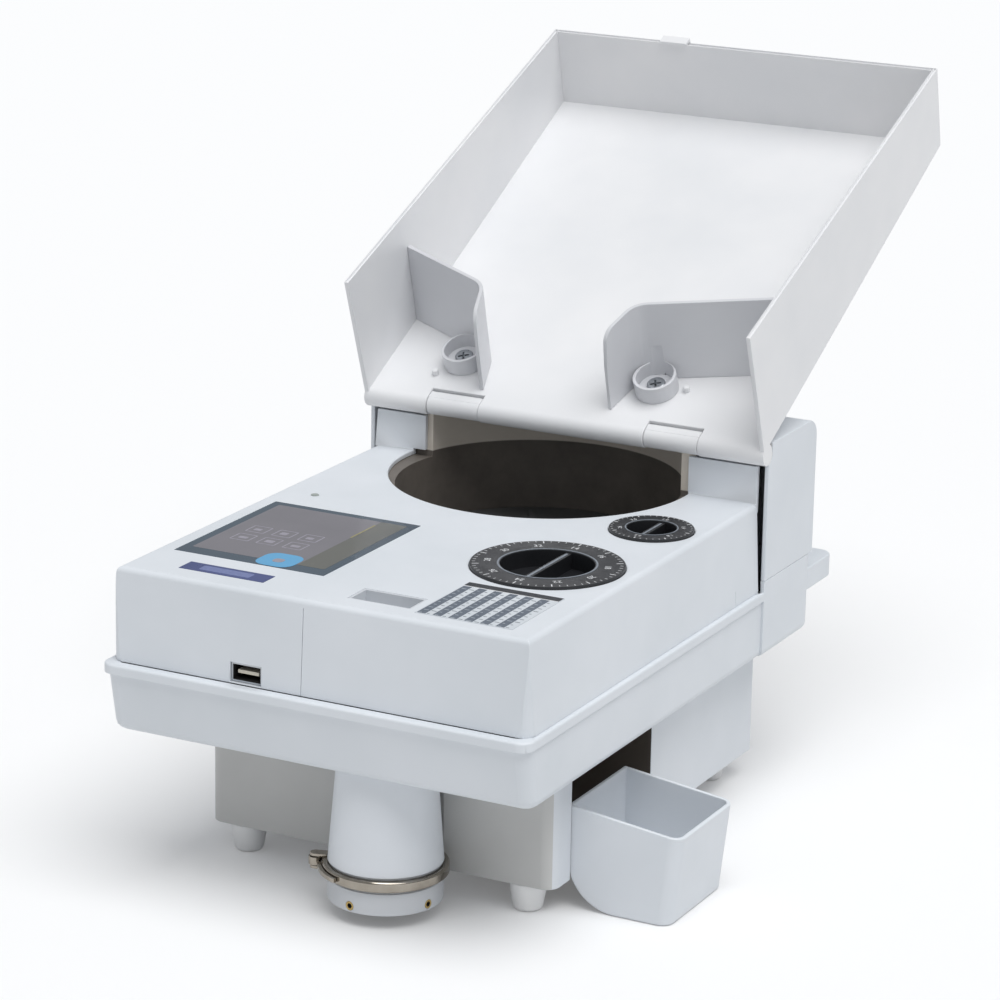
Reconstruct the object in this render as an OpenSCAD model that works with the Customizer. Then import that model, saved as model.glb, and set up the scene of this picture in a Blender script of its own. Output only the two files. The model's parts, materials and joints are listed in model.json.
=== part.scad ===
// Desktop coin counting machine with a hinged feed tray, a coin bowl, two setting dials,
// a bag spout at the front and a reject bin at the right.
// Millimetres, +Z up, +Y to the back, +X to the right as seen from the front.
// Inside the modules y = 0 is the machine's cross line and x = 0 its middle plane.

/* [Casing] */
// Gap between the cover's foot and the rim's side
cover_inset = 3; // [2:0.25:5]
// Distance of the cover's foot behind the rim's front
cover_set = 8; // [6:0.5:12]
// Height of the panel above the table
panel_z = 196; // [192:1:202]
// How far the cover's sides and front spread from the panel to the rim
cover_draft = 3; // [1:0.5:3.5]
// Wall thickness of the moulded casings
wall = 3; // [2.5:0.25:3.5]
// Corner radius of the casings in plan
corner_r = 9; // [5:0.5:12]
// Width over the base's rim, the rear housing and the tray
rim_w = 282; // [280:1:290]
// Distance of the rim's front from the cross line
rim_front = 229; // [227:1:236]
// Height of the base's rim above the table
rim_z = 139; // [136:1:142]
// Height of the bead along the rim
rim_bead = 6; // [4:0.5:8]
// How far the bead stands out from the band
bead_out = 1.5; // [1:0.25:2]
// Width of the ledge inside the rim that carries the cover
rim_ledge = 8; // [6:0.5:10]
// Height of the band's underside above the table
band_z = 95; // [92:0.5:98]
// How far the band's front draws in towards its underside
band_taper = 9; // [6:0.5:10]
// How far the lower box's sides lie inside the rim
box_inset = 24; // [18:1:30]
// How far the lower box's front lies behind the rim's front
box_set = 84; // [80:0.5:88]
// Distance of the lower box's back from the cross line
box_rear = 144; // [138:1:150]
// Height of the lower box's underside above the table
box_z = 17.5; // [16:0.5:21]

/* [Rear housing] */
// Gap between the riser's front face and the rear housing's cheeks
cover_gap = 2.5; // [2:0.25:4]
// Gap between the bowl and the rear housing's back wall
housing_gap = 0.5; // [0.4:0.1:6]
// Height of the rear housing's top
housing_z = 235; // [234:0.5:236]
// Height of the seam between the base and the rear housing
seam_z = 146; // [143:1:150]
// Radius of the housing's top rear edge
housing_round = 12; // [8:1:16]
// Front face of the riser behind the panel
riser_front = 92; // [91:0.5:92]
// Height of the riser above the panel
riser_h = 24; // [22:0.5:25]
// Reach of the carry handle behind the base
handle_reach = 45; // [40:1:55]
// Thickness of the carry handle
handle_t = 15; // [12:0.5:18]
// Height of the carry handle's underside
handle_z = 119; // [112:1:122]
// Width of each handle arm and depth of its bar
handle_bar = 19; // [15:1:22]

/* [Tray] */
// Length of the tray's floor
tray_l = 310; // [290:1:325]
// Height of the tray's walls at the hinge, above the hinge axis
tray_front_h = 88; // [82:1:92]
// Height of the tray's back wall, above the hinge axis
tray_back_h = 57.5; // [50:0.5:65]
// Wall thickness of the tray
tray_wall = 3; // [2.5:0.25:3.5]
// Slope of the tray's floor
tray_tilt = 28; // [26:0.5:31]
// How far the back wall leans out at its rim
tray_back_lean = 13.5; // [6:0.5:18]
// How far the side walls' front edges lean back at their rims
tray_front_lean = 8; // [4:0.5:12]
// Radius of the tray's round lip, which turns about the hinge
lip_r = 7; // [6.5:0.25:7.5]
// Gap between the riser and the lip
lip_gap = 1.5; // [1:0.25:2]
// Distance of each hinge knuckle from the middle
knuckle_x = 77; // [70:1:84]
// Width of each hinge knuckle
knuckle_w = 37; // [30:1:42]
// Radius of the hinge pins
hinge_pin_r = 2.5; // [2:0.25:3]
// How far a hinge pin reaches into the lip on each side
hinge_pin_reach = 14; // [10:1:18]
// Height of the flow guides above the tray's floor
guide_h = 52; // [44:1:56]
// Thickness of the flow guides
guide_t = 2.5; // [2:0.25:3]
// Middle of the exit between the flow guides, from the middle plane
guide_mid = -17; // [-22:1:-12]
// Width of the exit between the flow guides
guide_exit = 91; // [80:1:100]
// Radius of each guide's bend
guide_bend = 16; // [12:1:18]
// Outer radius of the screw cup on each guide
guide_cup_r = 14; // [11:0.5:15]
// Height of the screw cup
guide_cup_h = 12; // [9:0.5:15]
// How far a guide's top leans back up the tray
guide_lean = 12; // [0:0.5:16]
// How far the top of a guide's front edge is raked back
guide_rake = 4; // [0:0.5:10]
// Rounding of a guide's upper front corner
guide_round = 8; // [2:0.5:16]

/* [Feed] */
// Inner radius of the bowl
bowl_r = 91; // [86:0.5:91]
// Bowl axis, to the right of the middle plane
bowl_x = -7; // [-9:0.5:-5]
// Bowl axis, behind the cross line
bowl_y = 73; // [72:0.5:73]
// Wall thickness of the bowl
bowl_wall = 2.5; // [2:0.25:2.5]
// Radius of the round opening in the panel over the bowl
mouth_r = 98; // [97:0.5:99]
// Axis of the panel's opening, to the right of the middle plane
mouth_x = -10; // [-11:0.5:-9]
// Axis of the panel's opening, behind the cross line
mouth_y = 84; // [83:0.5:85]
// Left edge of the gap in the riser, to the right of the middle plane
riser_gap_x = -99; // [-101:0.5:-97]
// Height of the feed disc's top
disc_z = 151; // [150:0.5:154]
// Thickness of the feed disc
disc_t = 6; // [5:0.5:6.5]
// Radius of the cone cap on the disc
cap_r = 18; // [15:0.5:24]
// Height of the cone cap
cap_h = 14; // [10:0.5:18]
// Radius of the disc shaft
shaft_r = 6; // [5:0.5:7]
// Outer radius of the disc bearings
bearing_r = 14; // [12:0.5:15]
// Width of each disc bearing
bearing_w = 8; // [7:0.5:9]
// Radius of the disc pulley
disc_pulley_r = 38; // [32:1:40]
// Radius of the motor pulley
motor_pulley_r = 10; // [9:0.5:12]
// Width of both pulleys
pulley_w = 11; // [9:0.5:12]
// Thickness of the drive belt
belt_t = 2.5; // [2:0.25:3]
// Distance of the drive motor axis from the lower box's left side
motor_inset = 47; // [43:1:52]
// Drive motor axis, behind the cross line
motor_y = -45; // [-55:1:-42]
// Radius of the drive motor
motor_r = 30; // [26:1:32]
// Length of the drive motor
motor_h = 54; // [45:1:54]
// Height of the chassis plate's underside
chassis_z = 118; // [116:0.5:119]
// Thickness of the chassis plate
chassis_t = 3; // [2:0.25:3]

/* [Coin path] */
// Distance of the rail's fence from the panel's right edge
fence_inset = 71; // [69:0.5:73]
// Height of the rail's surface
rail_z = 150; // [149:0.5:150.5]
// Thickness of the rail
rail_t = 5; // [4:0.5:6]
// Length of the rail before the diameter dial's axis
rail_reach = 61; // [58:0.5:63]
// Diameter of the coin that the gate is set to
coin_d = 24; // [22:0.5:26]
// Thickness of the thickest coin
coin_t = 3.2; // [2.8:0.1:3.2]
// Height of the gap that the thickness gate is set to
coin_gap = 2.5; // [2.2:0.1:2.8]
// Radius of the transport pulleys
roller_r = 7; // [6:0.25:7]
// Width of the transport belt
roller_w = 7; // [5:0.5:8]
// Thickness of the transport belt
roller_belt_t = 2; // [1.5:0.25:2]
// Distance of the transport drive pulley from the rail's front end
roller_set = 15; // [13:0.5:18]
// Distance of the transport idler pulley before the thickness dial's axis
idler_set = 29; // [26:0.5:34]

/* [Dials] */
// Radius of the diameter dial
big_dial_r = 46; // [44:0.5:47]
// Radius of the diameter dial's cup
big_cup_r = 28; // [26:0.5:30]
// Distance of the diameter dial axis from the panel's right edge
big_dial_inset = 54; // [52:0.5:58]
// Gap between the diameter dial and the setting table
dial_table_gap = 5; // [4:0.5:8]
// Radius of the thickness dial
small_dial_r = 26; // [24:0.5:27]
// Radius of the thickness dial's cup
small_cup_r = 15; // [13:0.5:16]
// Distance of the thickness dial axis from the panel's right edge
small_dial_inset = 33; // [30:0.5:35]
// Gap between the thickness dial and the bowl
small_dial_gap = 6.9; // [6:0.1:9]
// How far the dials stand above the panel
dial_rise = 1.5; // [1:0.25:2.5]
// Depth of the dials' pockets in the panel
dial_sink = 1.8; // [1.4:0.1:2]
// Depth of the dials' cups below the panel
cup_depth = 9; // [7:0.5:10]
// Wall of the dials' cups
cup_wall = 2.5; // [2:0.25:3]
// Teeth on the gate's pinion
pinion_teeth = 12; // [12:1:13]
// Tooth module of the pinion and rack
tooth_module = 1; // [0.9:0.05:1.05]

/* [Panel] */
// Width of the display
display_w = 102; // [96:1:104]
// Depth of the display on the panel
display_l = 118; // [110:1:122]
// Gap between the display and the panel's left edge
display_margin = 11; // [8:0.5:14]
// Gap between the display and the panel's front edge
display_set = 45; // [40:0.5:50]
// Thickness of the display glass
lens_t = 1.4; // [1:0.1:1.8]
// Width of the display glass's border
lens_border = 6; // [4:0.5:8]
// Width of the setting table plate
table_w = 62; // [56:1:64]
// Depth of the setting table plate
table_l = 66; // [58:1:66]
// Gap between the setting table and the panel's right edge
table_margin = 17; // [12:0.5:20]
// Gap between the setting table and the panel's front edge
table_set = 12; // [8:0.5:16]
// Gap between the pull recess and the setting table
pull_gap = 5; // [4:0.5:8]
// Gap between the pull recess and the panel's front edge
pull_set = 16.5; // [12:0.5:20]
// Width of the pull recess
pull_w = 41; // [36:1:42]
// Depth of the pull recess on the panel
pull_l = 21; // [18:0.5:23]
// Depth of the pull recess below the panel
pull_depth = 11; // [8:0.5:14]
// Width of the data socket's opening
socket_w = 21; // [18:0.5:22]
// Height of the data socket's opening
socket_h = 12; // [10:0.5:13]

/* [Outlet] */
// Spout axis, to the right of the middle plane
spout_x = 24; // [23:0.5:26]
// Distance of the spout axis behind the rim's front
spout_set = 51; // [50.5:0.5:52]
// Outer radius of the spout under the base
spout_r = 29.2; // [28.6:0.2:30]
// Outer radius of the spout's flared end and the bag collar
collar_r = 34.2; // [33.8:0.1:34.6]
// Wall thickness of the spout
spout_wall = 3.4; // [3:0.1:3.6]
// Height of the collar's lower edge above the table
collar_z = 9; // [7:0.5:11]
// Height of the clamp ring above the collar's lower edge
collar_h = 15; // [13:0.5:16]
// Height of the clamp ring
ring_h = 7.5; // [6.5:0.25:8]
// Thickness of the clamp ring
ring_t = 4; // [3:0.25:4.5]
// Direction of the clamp lever's pivot, degrees from +X
lever_at = 198; // [190:1:206]
// Arc that the clamp lever covers on the ring, degrees
lever_arc = 52; // [40:1:60]

/* [Reject bin] */
// Width of the bin across its flat underside and round
bin_w = 67; // [63:0.5:67]
// Length of the bin
bin_l = 77; // [70:0.5:77]
// Height of the bin's outer wall
bin_h_out = 55; // [48:0.5:58]
// Height of the bin's inner wall
bin_h_in = 64; // [62:0.5:70]
// Radius of the bin's inner lower edge
bin_round = 32; // [26:0.5:34]
// How far the outer wall leans out at its rim
bin_lean = 6; // [3:0.5:8]
// Wall thickness of the bin
bin_wall = 2.5; // [2:0.25:3]
// How far the bin's outer lower edge lies outside the lower box
bin_out = 64; // [64:0.5:75]
// Gap between the bin and the recess's front
bin_gap = 0.5; // [0.4:0.1:1]
// Gap between the front feet and the recess
recess_gap = 0.5; // [0.5:0.1:2]
// Length of the recess
recess_l = 108.5; // [100:0.5:112]
// Depth of the recess into the lower box
recess_depth = 73; // [70:0.5:76]
// Height of the recess
recess_z = 88; // [84:0.5:90]

/* [Feet] */
// Radius of the feet under the box
foot_r = 11; // [9:0.5:11]
// Distance of the feet from the lower box's sides
foot_inset = 21.5; // [15:0.5:26]
// Gap between the front feet and the lower box's front
foot_set = 0; // [0:0.1:2]
// Distance of the rear feet behind the cross line
foot_rear = 120; // [112:1:126]

/* [Clearances] */
// Gap between pieces that move past each other
move_gap = 0.3; // [0.3:0.05:0.4]
// Radial play of a running fit
run_gap = 0.06; // [0.04:0.01:0.08]
// Play of a fixed fit
fix_gap = 0.02; // [0.01:0.01:0.03]

/* [Hidden] */
$fn = 64;
cut = 2;
half_w = rim_w / 2;
half_cover = half_w - cover_inset - cover_draft;
cover_front = rim_front - cover_set - cover_draft;
half_box = half_w - box_inset;
box_front = rim_front - box_set;
bowl_out = bowl_r + bowl_wall;
housing_front = riser_front + cover_gap;
housing_rear = bowl_y + bowl_out + housing_gap + wall;
band_half = half_w - bead_out;
band_front = -rim_front + bead_out;
shelf_z = band_z + wall;
panel_under = panel_z - wall;
riser_back = riser_front + wall;
riser_z = panel_z + riser_h;
chassis_top = chassis_z + chassis_t;

// Hinge axis of the tray
hinge_y = riser_front;
hinge_z = riser_z + lip_gap + lip_r;
floor_v = lip_r - tray_wall;
lip_clear = 0.6;
housing_lip_y = hinge_y + lip_r + lip_clear;
stop_wedge_x = half_w - 29;
stop_wedge_w = 14;
stop_wedge_y = housing_lip_y + 18;
// Height of the tray's underside above a place on the housing's top, less the gap at the stop
function floor_under(y) = hinge_z + (y - hinge_y) * tan(tray_tilt)
    + (floor_v - move_gap) / cos(tray_tilt);
header_t = 4;
header_h = 14;

// Bowl and drive
bowl_hole_gap = 0.3;
bowl_foot_z = disc_z - disc_t;
mouth_lap = 3;
bowl_top = panel_under - bowl_hole_gap;
bowl_rim_z = bowl_top - bowl_wall;
riser_gap_end = mouth_x + sqrt(mouth_r * mouth_r - (riser_front - cut - mouth_y) * (riser_front - cut
    - mouth_y)) - move_gap;
shroud_front = riser_back + move_gap;
shroud_z = riser_z + 1;
disc_gap = 1;
disc_r = bowl_r - disc_gap;
disc_hub_r = 16;
hub_z = disc_z - disc_t - 3;
bearing_case_r = bearing_r + 5;
bearing_flange = 15;
motor_x = -half_box + motor_inset;
case_top = hub_z - 1;
case_low = chassis_z - 13;
pulley_top = case_low - 2;
pulley_z = pulley_top - pulley_w;
shaft_low = pulley_z - 3;
belt_w = pulley_w - 3;
belt_z = pulley_z + (pulley_w - belt_w) / 2;
motor_top = pulley_z - 3;
motor_plate_t = 3;
motor_plate_half = motor_r + 10;
standoff_r = 5;
bowl_leg_angles = [45, 135, 200, 258];
bowl_leg_r = 5;
bowl_leg_at = bowl_out + bowl_leg_r - 1;
chassis_front = rim_front - 21;
chassis_rear = bowl_y + bowl_leg_at * sin(bowl_leg_angles[0]) + bowl_leg_r + 3;

// Panel places
table_x = half_cover - table_margin - table_w / 2;
table_y = -cover_front + table_set + table_l / 2;
pull_x = table_x - table_w / 2 - pull_gap - pull_w / 2;
pull_y = -cover_front + pull_set + pull_l / 2;
display_x = -half_cover + display_margin + display_w / 2;
display_y = cover_front - display_set - display_l / 2;
big_dial_x = half_cover - big_dial_inset;
big_dial_y = cover_front - table_set - table_l - dial_table_gap - big_dial_r;
small_dial_x = half_cover - small_dial_inset;
small_dial_off = bowl_out + small_dial_gap + small_dial_r;
small_dial_y = bowl_y - sqrt(small_dial_off * small_dial_off
    - (small_dial_x - bowl_x) * (small_dial_x - bowl_x));
strip_w = 57;
strip_l = 14;
strip_x = display_x - 1;
strip_y = -cover_front + 16 + strip_l / 2;
led_x = -half_cover + 25;
led_y = -display_y + display_l / 2 + 24;
led_r = 2.5;
socket_x = display_x + 27;
trim_t = 0.8;

// Coin path
fence_x = half_cover - fence_inset;
rail_front = big_dial_y + rail_reach;
roller_front = rail_front - roller_set;
roller_rear = idler_set - small_dial_y;
tongue_half = 3.5;
rail_x0 = fence_x - 4;
rail_x1 = half_cover - 5;
rail_rear = max(bowl_y - 13, small_dial_y + tongue_half + 14);
rail_post_r = 4;
rail_post_x = fence_x + 2;
bowl_clear = bowl_out + rail_post_r + 2;
rail_post_y = bowl_y - sqrt(bowl_clear * bowl_clear - (rail_post_x - bowl_x) * (rail_post_x - bowl_x))
    - rail_post_r - 2;
chute_half = 32;
sensor_half = 12;
chute_x0 = fence_x - 1;
chute_x1 = fence_x + 31;
rail_under = rail_z - rail_t;
gate_edge = fence_x + coin_d;
gate_l = 70;
gate_w = 1.25 * coin_d;
gate_arm_x0 = 4;
gate_arm_x1 = coin_d / 2;
gate_reject_w = 12;
gate_reject_l = 60;
gate_plate_t = 5;
gate_base = rail_z + move_gap;
pitch_r = pinion_teeth * tooth_module / 2;
tooth_add = tooth_module;
tooth_ded = 1.3 * tooth_module;
tooth_play = 0.25;
tooth_sink = 0.8;
cup_floor = panel_z - cup_depth;
cup_under = cup_floor - cup_wall;
pinion_h = 6;
pinion_top = cup_under - 2;
pinion_z = pinion_top - pinion_h;
rack_y = -big_dial_y - pitch_r;
rack_body = 5;
rack_root = rack_y - tooth_ded;
rack_half = 18;
belt_low = rail_z + coin_t + 0.4;
roller_z = belt_low + roller_belt_t + run_gap + roller_r;
roller_x = fence_x + 7;
roller_axle_r = 2.5;
frame_t = 3.5;
frame_x1 = rail_x0 - 0.3;
frame_x0 = frame_x1 - frame_t;
stop_pin_r = 2;
stop_x = fence_x + 18;
stop_y = -(rail_front - 7);
screw_r = 3;

// Spout, feet and bin
spout_y = rim_front - spout_set;
foot_x = half_box - foot_inset;
foot_front = box_front - foot_set - foot_r;
foot_boss_r = 7;
recess_front = foot_front - foot_r - recess_gap;
recess_rear = recess_front - recess_l;
recess_x = half_box - recess_depth;
supply_reach = 24;
supply_h = 41;
bin_front = recess_front - bin_gap;
bin_x = half_box + bin_out;
flange_r = collar_r;
flange_t = 3;
stub_r = collar_r - spout_wall;
stub_bore = stub_r - spout_wall;
ring_z = collar_z + collar_h;
ring_top = ring_z + ring_h;
ring_seat_r = collar_r - 1;
ring_in = ring_seat_r + move_gap;
ring_out = ring_in + ring_t;
lever_t = 2.4;
scallop_r = ring_out + 1.2;
lever_hub_r = 4.2;
lever_pin_r = 1.8;
lever_r = ring_out + lever_hub_r + move_gap;
ear_t = 2;
ear_lap = 0.9;
ear_z = ring_z - ear_t + ear_lap;
shoulder_z = ear_z - move_gap;

// Model origin under the middle of the whole machine's box
left_x = -half_w;
right_x = max(bin_x + bin_lean, half_w);
front_y = -rim_front;
tray_back_y = hinge_y + (tray_l * cos(tray_tilt) - floor_v * sin(tray_tilt));
tray_rim_y = hinge_y + ((tray_l + tray_back_lean) * cos(tray_tilt) - tray_back_h * sin(tray_tilt));
back_y = max(tray_back_y, tray_rim_y);
mid_x = (left_x + right_x) / 2;
mid_y = (front_y + back_y) / 2;

shell_grey = [0.82, 0.84, 0.87];
tray_white = [0.90, 0.91, 0.93];
part_grey = [0.72, 0.74, 0.77];
dial_black = [0.12, 0.12, 0.13];
steel = [0.66, 0.67, 0.69];
brass = [0.72, 0.58, 0.30];
rubber = [0.16, 0.16, 0.17];
board_green = [0.12, 0.36, 0.22];
foot_white = [0.93, 0.93, 0.92];

// Shared shapes

module in_frame() translate([-mid_x, -mid_y, 0]) children();

// Low and high end of a stretch about its middle
function span(mid, half) = [mid - half, mid + half];

module box(x, y, z) translate([x[0], y[0], z[0]]) cube([x[1] - x[0], y[1] - y[0], z[1] - z[0]]);

module along_x(l) rotate([90, 0, 90]) linear_extrude(l, center = true) children();

module along_y(l) rotate([90, 0, 0]) linear_extrude(l, center = true) children();

module rod_x(r, x) translate([x[0], 0, 0]) rotate([0, 90, 0]) cylinder(r = r, h = x[1] - x[0]);

module post(r, z) translate([0, 0, z[0]]) cylinder(r = r, h = z[1] - z[0]);

module tube(r_out, r_in, z) difference() {
    post(r_out, z);
    post(r_in, [z[0] - cut, z[1] + cut]);
}

// Rectangle in plan with its own front and rear corner radii
module plan(hw, y0, y1, rf, rb) {
    translate([-hw, y0 + rf]) square([2 * hw, y1 - y0 - rf - rb]);
    if (rf > 0) {
        translate([-hw + rf, y0]) square([2 * (hw - rf), 2 * rf]);
        for (s = [-1, 1]) translate([s * (hw - rf), y0 + rf]) circle(r = rf);
    }
    if (rb > 0) {
        translate([-hw + rb, y1 - 2 * rb]) square([2 * (hw - rb), 2 * rb]);
        for (s = [-1, 1]) translate([s * (hw - rb), y1 - rb]) circle(r = rb);
    }
}

module slab_plan(z, hw, y0, y1, rf, rb) translate([0, 0, z[0]])
    linear_extrude(z[1] - z[0]) plan(hw, y0, y1, rf, rb);

// Outline of a path of points with a thickness
function leave(p, i) = let (a = p[max(i - 1, 0)], b = p[min(i + 1, len(p) - 1)], d = b - a) [-d[1],
    d[0]] / norm(d);
function stroke(p, t) = concat([for (i = [0 : len(p) - 1]) p[i] + leave(p, i) * t / 2],
                               [for (i = [len(p) - 1 : -1 : 0]) p[i] - leave(p, i) * t / 2]);

// Outline round two pulleys, along their outer tangents
module pulley_loop(c1, r1, c2, r2) {
    d = norm(c2 - c1);
    heading = atan2(c2[1] - c1[1], c2[0] - c1[0]);
    swing = acos((r1 - r2) / d);
    steps = 48;
    polygon(concat(
        [for (i = [0 : steps]) let (a = heading + swing + (360 - 2 * swing) * i / steps) c1
            + r1 * [cos(a), sin(a)]],
        [for (i = [0 : steps]) let (a = heading - swing + 2 * swing * i / steps) c2
            + r2 * [cos(a), sin(a)]]));
}

module tray_frame() translate([0, hinge_y, hinge_z]) rotate([tray_tilt, 0, 0]) children();

// Places that several pieces share

function cover_bolts() = [for (s = [-1, 1], y = [-cover_front + 14,
    riser_front - 14]) [s * (half_cover - 8), y]];
function chassis_bolts() = [for (s = [-1, 1], y = [-chassis_front + 16,
    (chassis_rear - chassis_front - 16) / 2, chassis_rear - 32])
    [s * (band_half - wall - 8), y]];
function feet_at() = [for (s = [-1, 1], y = [-foot_front, foot_rear]) [s * foot_x, y]];
function standoffs() = [for (s = [-1, 1], t = [-1, 1])
    [motor_x + s * (motor_plate_half - standoff_r), motor_y + t * (motor_plate_half - standoff_r)]];
collar_screw_at = [261, 346];
collar_screw_z = collar_z + 3.6;
collar_screw_head = 2.7;
inlet_x = -half_w + 37;
inlet_z = seam_z + 26;
inlet_depth = 19;
inlet_w = 27;
inlet_h = 20;
rocker_x = inlet_x + 32;
rocker_w = 15;
rocker_h = 21;
rocker_axis_y = housing_rear - 1;
latch_x = -49;
latch_w = 20;

// Casing

module base_band(in) intersection() {
    slab_plan([band_z + in, rim_z + cut], band_half - in, band_front + in, housing_rear - in,
              corner_r - in / 2, corner_r - in / 2);
    along_x(rim_w) polygon([[band_front + band_taper + in, band_z], [band_front + in, rim_z],
                            [band_front + in, rim_z + (in > 0 ? cut : 0)],
                            [housing_rear, rim_z + (in > 0 ? cut : 0)], [housing_rear, band_z]]);
}

module base_outer() {
    base_band(0);
    slab_plan([rim_z - rim_bead, rim_z], half_w, -rim_front, housing_rear, corner_r, corner_r);
    slab_plan([band_z, seam_z], half_w, housing_front, housing_rear, 0, corner_r);
    difference() {
        slab_plan([box_z, shelf_z], half_box, -box_front, box_rear, corner_r, corner_r);
        at_spout() post(scallop_r, [box_z - cut, band_z]);
    }
}

module base_hollow() {
    difference() {
        base_band(wall);
        difference() {
            translate([0, 0, rim_z - rim_bead]) linear_extrude(rim_bead + 2 * cut)
                plan(half_w, -rim_front, housing_front, 0, 0);
            slab_plan([rim_z - rim_bead - cut, rim_z + 3 * cut], half_w - rim_ledge,
                -rim_front + rim_ledge,
                      housing_front + cut, corner_r / 2, 0);
        }
        for (p = cover_bolts()) translate(p) post(8, [rim_z - rim_bead, rim_z + 2 * cut]);
    }
    slab_plan([rim_z - cut, seam_z + cut], half_w - wall, housing_front - cut, housing_rear - wall, 0,
        corner_r / 2);
    difference() {
        slab_plan([box_z + wall, shelf_z + cut], half_box - wall, -box_front + wall, box_rear - wall,
                  corner_r - wall / 2, corner_r - wall / 2);
        at_spout() post(scallop_r + wall, [box_z, shelf_z + 2 * cut]);
    }
}

module base_pan() color(shell_grey) difference() {
    union() {
        difference() {
            base_outer();
            base_hollow();
        }
        box([recess_x - wall, half_box], [-recess_front - wall, -recess_rear + wall],
            [box_z, recess_z + wall]);
        for (p = chassis_bolts()) translate(p) post(6, [shelf_z - 1, chassis_z]);
        for (p = feet_at()) translate(p) post(foot_boss_r, [box_z, box_z + 9]);
    }
    box([recess_x, half_box + cut], [-recess_front, -recess_rear], [box_z - cut, recess_z]);
    chute_void(-2, [recess_z - cut, recess_z + wall + cut]);
    at_spout() post(spout_r + move_gap, [band_z - cut, shelf_z + 3 * cut]);
    for (p = feet_at()) translate(p) post(4 + fix_gap, [box_z - cut, box_z + 6]);
    for (p = chassis_bolts()) translate(p) post(2 + fix_gap, [chassis_z - 10, chassis_z + cut]);
    for (p = cover_bolts()) translate(p) post(2.2, [rim_z - rim_bead - cut, rim_z + cut]);
    for (s = [-1, 1]) translate([s * (half_w - 3 - handle_bar / 2), housing_rear - wall - cut,
        handle_z + handle_t / 2])
        rotate([-90, 0, 0]) cylinder(r = 3, h = wall + 2 * cut);
}

module feet() color(foot_white) for (p = feet_at()) translate(p) {
    rotate_extrude() polygon([[0, 0], [foot_r - 3.5, 0], [foot_r - 2, 1.5], [foot_r, box_z - 4],
        [foot_r, box_z], [0, box_z]]);
    post(4, [box_z - 1, box_z + 5]);
}

module rear_handle() color(shell_grey) {
    difference() {
        translate([0, 0, handle_z]) linear_extrude(handle_t)
            plan(half_w - 3, housing_rear, housing_rear + handle_reach, 0, 10);
        box([-half_w + 3 + handle_bar, half_w - 3 - handle_bar],
            [housing_rear - cut, housing_rear + handle_reach - handle_bar],
                [handle_z - cut, handle_z + handle_t + cut]);
    }
    for (s = [-1, 1]) translate([s * (half_w - 3 - handle_bar / 2), housing_rear - wall,
        handle_z + handle_t / 2])
        rotate([-90, 0, 0]) cylinder(r = 3 - fix_gap, h = wall + 1);
}

// Outside of the cover, drawn in by "in" and open below
module cover_body(in) {
    top = panel_z - in;
    intersection() {
        slab_plan([rim_z - (in > 0 ? cut : 0), top], half_cover + cover_draft - in,
            -cover_front - cover_draft + in,
                  riser_front + (in > 0 ? cut : 0), corner_r - in / 2, 0);
        along_y(2 * rim_front + 4 * cut) polygon([
            [-half_cover - cover_draft + in, rim_z - cut], [-half_cover - cover_draft + in, rim_z],
            [-half_cover + in, panel_z], [half_cover - in, panel_z],
            [half_cover + cover_draft - in, rim_z], [half_cover + cover_draft - in, rim_z - cut]]);
        along_x(rim_w) polygon([
            [-cover_front - cover_draft + in, rim_z - cut], [-cover_front - cover_draft + in, rim_z],
            [-cover_front + in, panel_z], [riser_front + cut, panel_z],
                [riser_front + cut, rim_z - cut]]);
    }
}

module dial_collar(x, y, cup_r) translate([x, y]) post(cup_r + cup_wall + 3.5,
    [panel_under - 4, panel_under + 1]);

module dial_hole(x, y, r, cup_r) translate([x, y]) {
    post(r + move_gap, [panel_z - dial_sink, panel_z + cut]);
    post(cup_r + cup_wall + run_gap, [panel_under - 6, panel_z]);
}

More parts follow.
